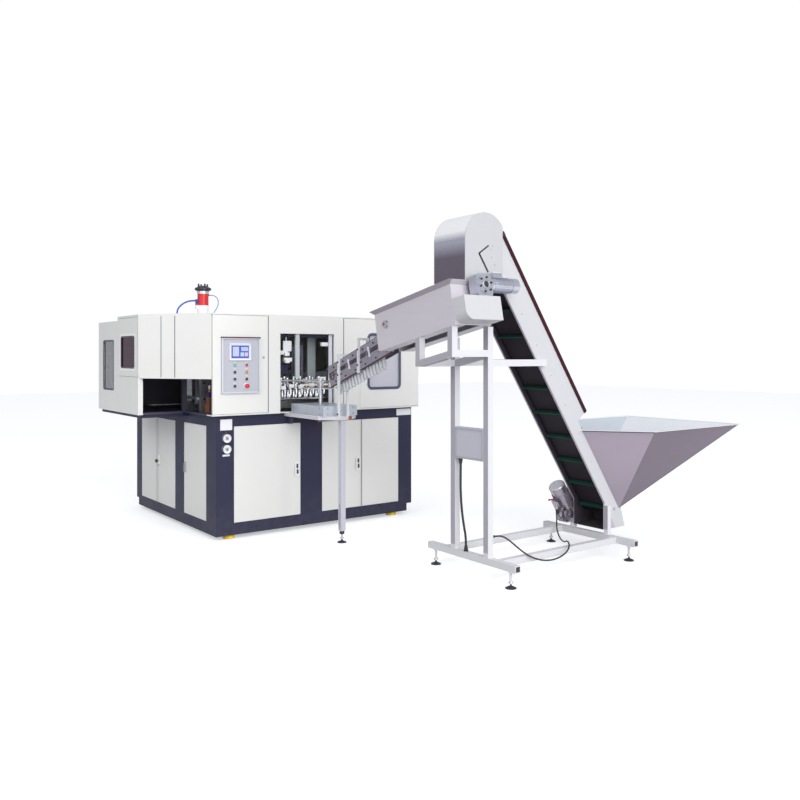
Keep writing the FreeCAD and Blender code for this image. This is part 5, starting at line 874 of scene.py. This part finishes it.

# --- Head cover ---
# Two flat white cheeks with a wrapper of bright rolled steel bent round them, over the head drum. The
# wrapper's lower part carries painted reflection and shade, grey and then dark towards its mouth.
HEAD_WHITE = (0.53, 0.535, 0.555)
# Painted reflection and shade: two soft bands darken the wrapper below its bend.
dress(sprayed("head_cover_finish", (0.95, 0.95, 0.96), gloss=0.3, metal=0.35, shade=0.03, marks=[
    ((UP, 2.0, 2.52, 0.06), (0.42, 0.42, 0.5), 0.28, 0.5),
    ((UP, 2.0, 2.44, 0.1), (0.15, 0.13, 0.165), 0.28, 0.5),
    (((0, 1, 0), -2.5, -2.4016), HEAD_WHITE, 0.4),
    (((0, 1, 0), -2.0584, -2.0), HEAD_WHITE, 0.4)]), "head_cover")

# --- Cleated belt and its drums ---
# A dark purple-black conveyor belt with dark green cleats welded across it, stretched round two machined
# steel drums.
BELT_LEVEL, BELT_REACH, CLEAT_GREEN = 2.1455, 0.0428, (0.01, 0.075, 0.048)
dress(sprayed("belt_rubber", (0.013, 0.008, 0.014), gloss=0.6, shade=0.2, peel=0.3, shine=0.18, marks=[
    ((ELEVATOR_UP, BELT_LEVEL + BELT_REACH, 2.4), CLEAT_GREEN, 0.5),
    ((ELEVATOR_UP, 1.9, BELT_LEVEL - BELT_REACH), CLEAT_GREEN, 0.5)]), "cleated_belt")
dress(machined, "head_drum", "tail_drum")

# --- Lower gearmotor ---
# The larger cast aluminium gearmotor that drives the tail drum: ribbed barrel, round fan cap, terminal box,
# a flanged gear case with screws round its bore, and a red release lever.
lower_aluminium = sprayed("lower_motor_aluminium", (0.38, 0.35, 0.4), gloss=0.28, metal=0.8, shade=0.3, peel=0.5)
dress(lower_aluminium, "lower_gearmotor")
MOTOR_Y, GEAR_Y, gear_centre = -1.982, -2.029, [(2.504, -0.177)]
on_elevator(fins("lower_motor_fins", 0.068, 0.01, 0.13, 26), lower_aluminium, [(2.32, -0.115)],
            MOTOR_Y, "right")
on_elevator(turned("lower_fan_cap", [(0.07, 0), (0.066, 0.008), (0.05, 0.012), (0.03, 0.013), (0.028, 0.01)], 32),
            sprayed("fan_grey", (0.62, 0.62, 0.66), gloss=0.35, metal=0.5), [(2.254, -0.115)],
            MOTOR_Y, "left")
on_elevator(ring_of(cap_screw("lower_flange_screws", 0.008, 0.007), 6, 0.06, 10), black_plastic,
            gear_centre, GEAR_Y)
on_elevator(hoop("lower_bore_collar", 0.036, 0.014, 0.009), lock_steel, gear_centre, GEAR_Y)
on_elevator(turned("release_lever", [(0.006, 0), (0.005, 0.045), (0.008, 0.05), (0.009, 0.06), (0.006, 0.066)], 14),
            sprayed("lever_red", (0.38, 0.05, 0.05), gloss=0.4, shade=0.1), [(2.33, -0.205)],
            MOTOR_Y, "left", ("Y", 0))

# --- Hopper ---
# Stainless sheet plates with a brushed skin, welded at the corners with a flat lip round the top. Light is
# painted on: mauve-grey painted shade outside, darkest on faces that look down, a bright painted highlight on
# faces that look up within, dimmer blue-grey on inner faces towards +X, and painted shade under the lip's
# painted bright rim.
# Painted light and shade by the way each face looks, and in two bands at the lip.
dress(sprayed("hopper_steel", (0.4, 0.345, 0.41), gloss=0.38, metal=0.35, lines=(8, 8, 90), contrast=0.08, marks=[
    (((0.75, -0.35, -0.56),), (0.175, 0.135, 0.185), 0.38, 0.3),
    ((UP, 1.0185, 1.0295), (0.15, 0.12, 0.15), 0.4, 0.1),
    ((UP,), (0.86, 0.88, 0.92), 0.45, 0.1),
    (((0.8, -0.25, 0.5),), (0.52, 0.57, 0.62), 0.45, 0.1),
    ((UP, 1.0295, 1.04), (0.84, 0.84, 0.86), 0.35, 0.1)]), "hopper")

# --- Stand ---
# Square tubes, welded and sprayed pale grey, with painted shade on faces that look along -X and deeper painted
# shade on undersides, both left off the low crossbars; the open tube ends are painted near black as the shade
# in the hollows. A junction box is screwed to the near post, and threaded feet on swivel discs stand below the
# crossbars.
POSTS = (0.91, 2.21)
# Painted shade: the open tube ends near black, for the dark hollow inside.
open_end_painted_shade = [(((x - 0.019, y - 0.0006, 0.126), (x + 0.019, y + 0.0006, 0.164)), (0.008, 0.008, 0.01), 0.7)
             for x in POSTS for y in (-2.715, -1.745)]
# Painted shade on faces looking along -X and on undersides, taken off again at the low crossbars.
dress(sprayed("stand_paint", POST_GREY, gloss=0.42, shade=0.04, dust=0.25, marks=[
    (((-1, 0, 0),), (0.4, 0.385, 0.43), 0.42), (((0, 0, -1),), (0.2, 0.165, 0.21), 0.42),
    ((UP, 0.11, 0.205), POST_GREY, 0.42), *open_end_painted_shade,
    (((0.884, -2.3885, 0.859), (0.936, -2.0715, 1.096)), (0.52, 0.52, 0.58), 0.45, 0.1)]), "stand_frame")
dress(sprayed("foot_steel", (0.04, 0.04, 0.062), gloss=0.35, metal=0.3, shade=0.1, marks=[
    ((UP, 0.032, 0.2), (0.45, 0.42, 0.42), 0.3, 0.7)]), "disc_feet")
zinc = sprayed("zinc", (0.6, 0.59, 0.58), gloss=0.35, metal=0.7, shade=0.12)
feet, table_leg = [(x, y) for x in POSTS for y in (-2.645, -1.815)], (0.717, -0.755)
fix(soften(turned("foot_nuts", [(0.019, 0), (0.019, 0.011)], 6), 0.0015), zinc,
    [(x, y, z) for z in (0.108, 0.034) for x, y in feet] + [(*table_leg, 0.034)])
fix(turned("leg_end_cap", [(0.018, 0), (0.022, 0.004), (0.022, 0.022), (0.02, 0.026)], 20), black_plastic,
    [(*table_leg, 0.074)])
THREAD_CREST, THREAD_ROOT, HALF_PITCH = 0.01, 0.0086, 0.0034
thread = [(THREAD_CREST if step % 2 else THREAD_ROOT, 0.04 + HALF_PITCH * step) for step in range(19)]
fix(turned("foot_threads", thread, 14), zinc, [(x, y, 0) for x, y in feet])
fix(rim("junction_lid", 0.3, 0.22, 0.01, 0.01, 0.004), dial_grey, [(0.885, -2.23, 0.9775)], "left")
fix(cap_screw("junction_screws", 0.006, 0.004), zinc,
    [(0.885, y, z) for y in (-2.372, -2.088) for z in (0.876, 1.079)], "left")

# --- Cables and hoses ---
# Black rubber-sheathed motor and supply cables and two plastic air hoses, each of one piece, that hang in
# their own curves from gland to gland. A tapered rubber relief guards each cable where it enters.


def sheath(name, color, roughness):
    """Extruded cable sheath or hose: a faint mottle and fine bloom on a smooth round skin."""
    made, tree, shader, place = material_tree(name)
    mottle = maths(tree, "MULTIPLY", noise(tree, place, 35, 3), 0.5)
    tree.links.new(mixed(tree, mottle, color, [min(1, c * 1.8 + 0.01) for c in color]), shader["Base Color"])
    bloom = maths(tree, "MULTIPLY_ADD", noise(tree, place, 120), 0.25, roughness - 0.12)
    tree.links.new(bloom, shader["Roughness"])
    bumped(tree, shader, noise(tree, place, 900), 0.15, 0.0004)
    return made


def smooth_cord(node, points, radius, material):
    """A round cord on a smooth curve through its route, in place of the CAD tube."""
    line = bpy.data.curves.new(node + "_line", "CURVE")
    line.dimensions = "3D"
    spline = line.splines.new("NURBS")
    spline.points.add(len(points) - 1)
    for point, knot in zip(spline.points, points):
        point.co = (*knot, 1)
    spline.order_u = 3
    spline.use_endpoint_u = True
    spline.resolution_u = 12
    line.bevel_depth = radius
    line.bevel_resolution = 4
    line.use_fill_caps = True
    piece = bpy.data.objects.new(node + "_sheath", line)
    bpy.context.collection.objects.link(piece)
    line.materials.append(material)
    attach(piece, "line")
    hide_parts(node)


cable_rubber = sheath("cable_rubber", (0.012, 0.012, 0.014), 0.55)
blue_hose_plastic = sheath("blue_hose_plastic", (0.045, 0.075, 0.36), 0.35)
pale_hose_plastic = sheath("pale_hose_plastic", (0.16, 0.24, 0.58), 0.35)
smooth_cord("lower_motor_cable", [
    (2.1, -1.982, 0.32), (2.1, -1.982, 0.25), (2.088, -1.99, 0.19), (2.05, -2.032, 0.15), (1.985, -2.11, 0.132),
    (1.91, -2.2, 0.128), (1.836, -2.292, 0.138), (1.768, -2.376, 0.16), (1.708, -2.446, 0.188),
    (1.652, -2.512, 0.198), (1.604, -2.566, 0.184), (1.545, -2.592, 0.152), (1.455, -2.598, 0.124),
    (1.352, -2.596, 0.118), (1.252, -2.586, 0.136), (1.172, -2.56, 0.172), (1.122, -2.516, 0.22),
    (1.096, -2.468, 0.262), (1.064, -2.428, 0.298), (1.012, -2.413, 0.315), (0.95, -2.413, 0.315)],
    0.006, cable_rubber)
smooth_cord("supply_cable", [
    (0.91, -2.11, 0.845), (0.91, -2.11, 0.75), (0.904, -2.115, 0.65), (0.899, -2.126, 0.552), (0.897, -2.14, 0.454),
    (0.901, -2.156, 0.358), (0.91, -2.17, 0.27), (0.91, -2.17, 0.186)], 0.009, cable_rubber)
smooth_cord("blue_hose", [
    (-0.046, 0.63, 2.15), (-0.101, 0.63, 2.15), (-0.173, 0.632, 2.12), (-0.214, 0.635, 2.079),
    (-0.2286, 0.637, 2.044), (-0.2286, 0.637, 2.008)], 0.008, blue_hose_plastic)
smooth_cord("thin_hose", [
    (0.09, 0.63, 2.208), (0.124, 0.63, 2.208), (0.156, 0.632, 2.2), (0.179, 0.634, 2.176), (0.187, 0.636, 2.144),
    (0.182, 0.638, 2.109), (0.166, 0.641, 2.076), (0.14, 0.642, 2.044), (0.14, 0.642, 2.008)],
    0.0045, pale_hose_plastic)
motor_relief = [(0.013, 0), (0.0135, 0.006), (0.0115, 0.008), (0.0105, 0.018), (0.009, 0.03), (0.0078, 0.038)]
supply_relief = [(0.018, 0), (0.018, 0.008), (0.0155, 0.01), (0.014, 0.024), (0.012, 0.036), (0.0106, 0.044)]
for name, profile, place, facing in (
        ("motor_cable_relief_top", motor_relief, (2.1, -1.982, 0.32), "down"),
        ("motor_cable_relief_post", motor_relief, (0.935, -2.413, 0.315), "right"),
        ("supply_cable_relief_top", supply_relief, (0.91, -2.11, 0.86), "down"),
        ("supply_cable_relief_low", supply_relief, (0.91, -2.17, 0.17), "up")):
    fix(turned(name, profile, 20), cable_rubber, [place], facing)
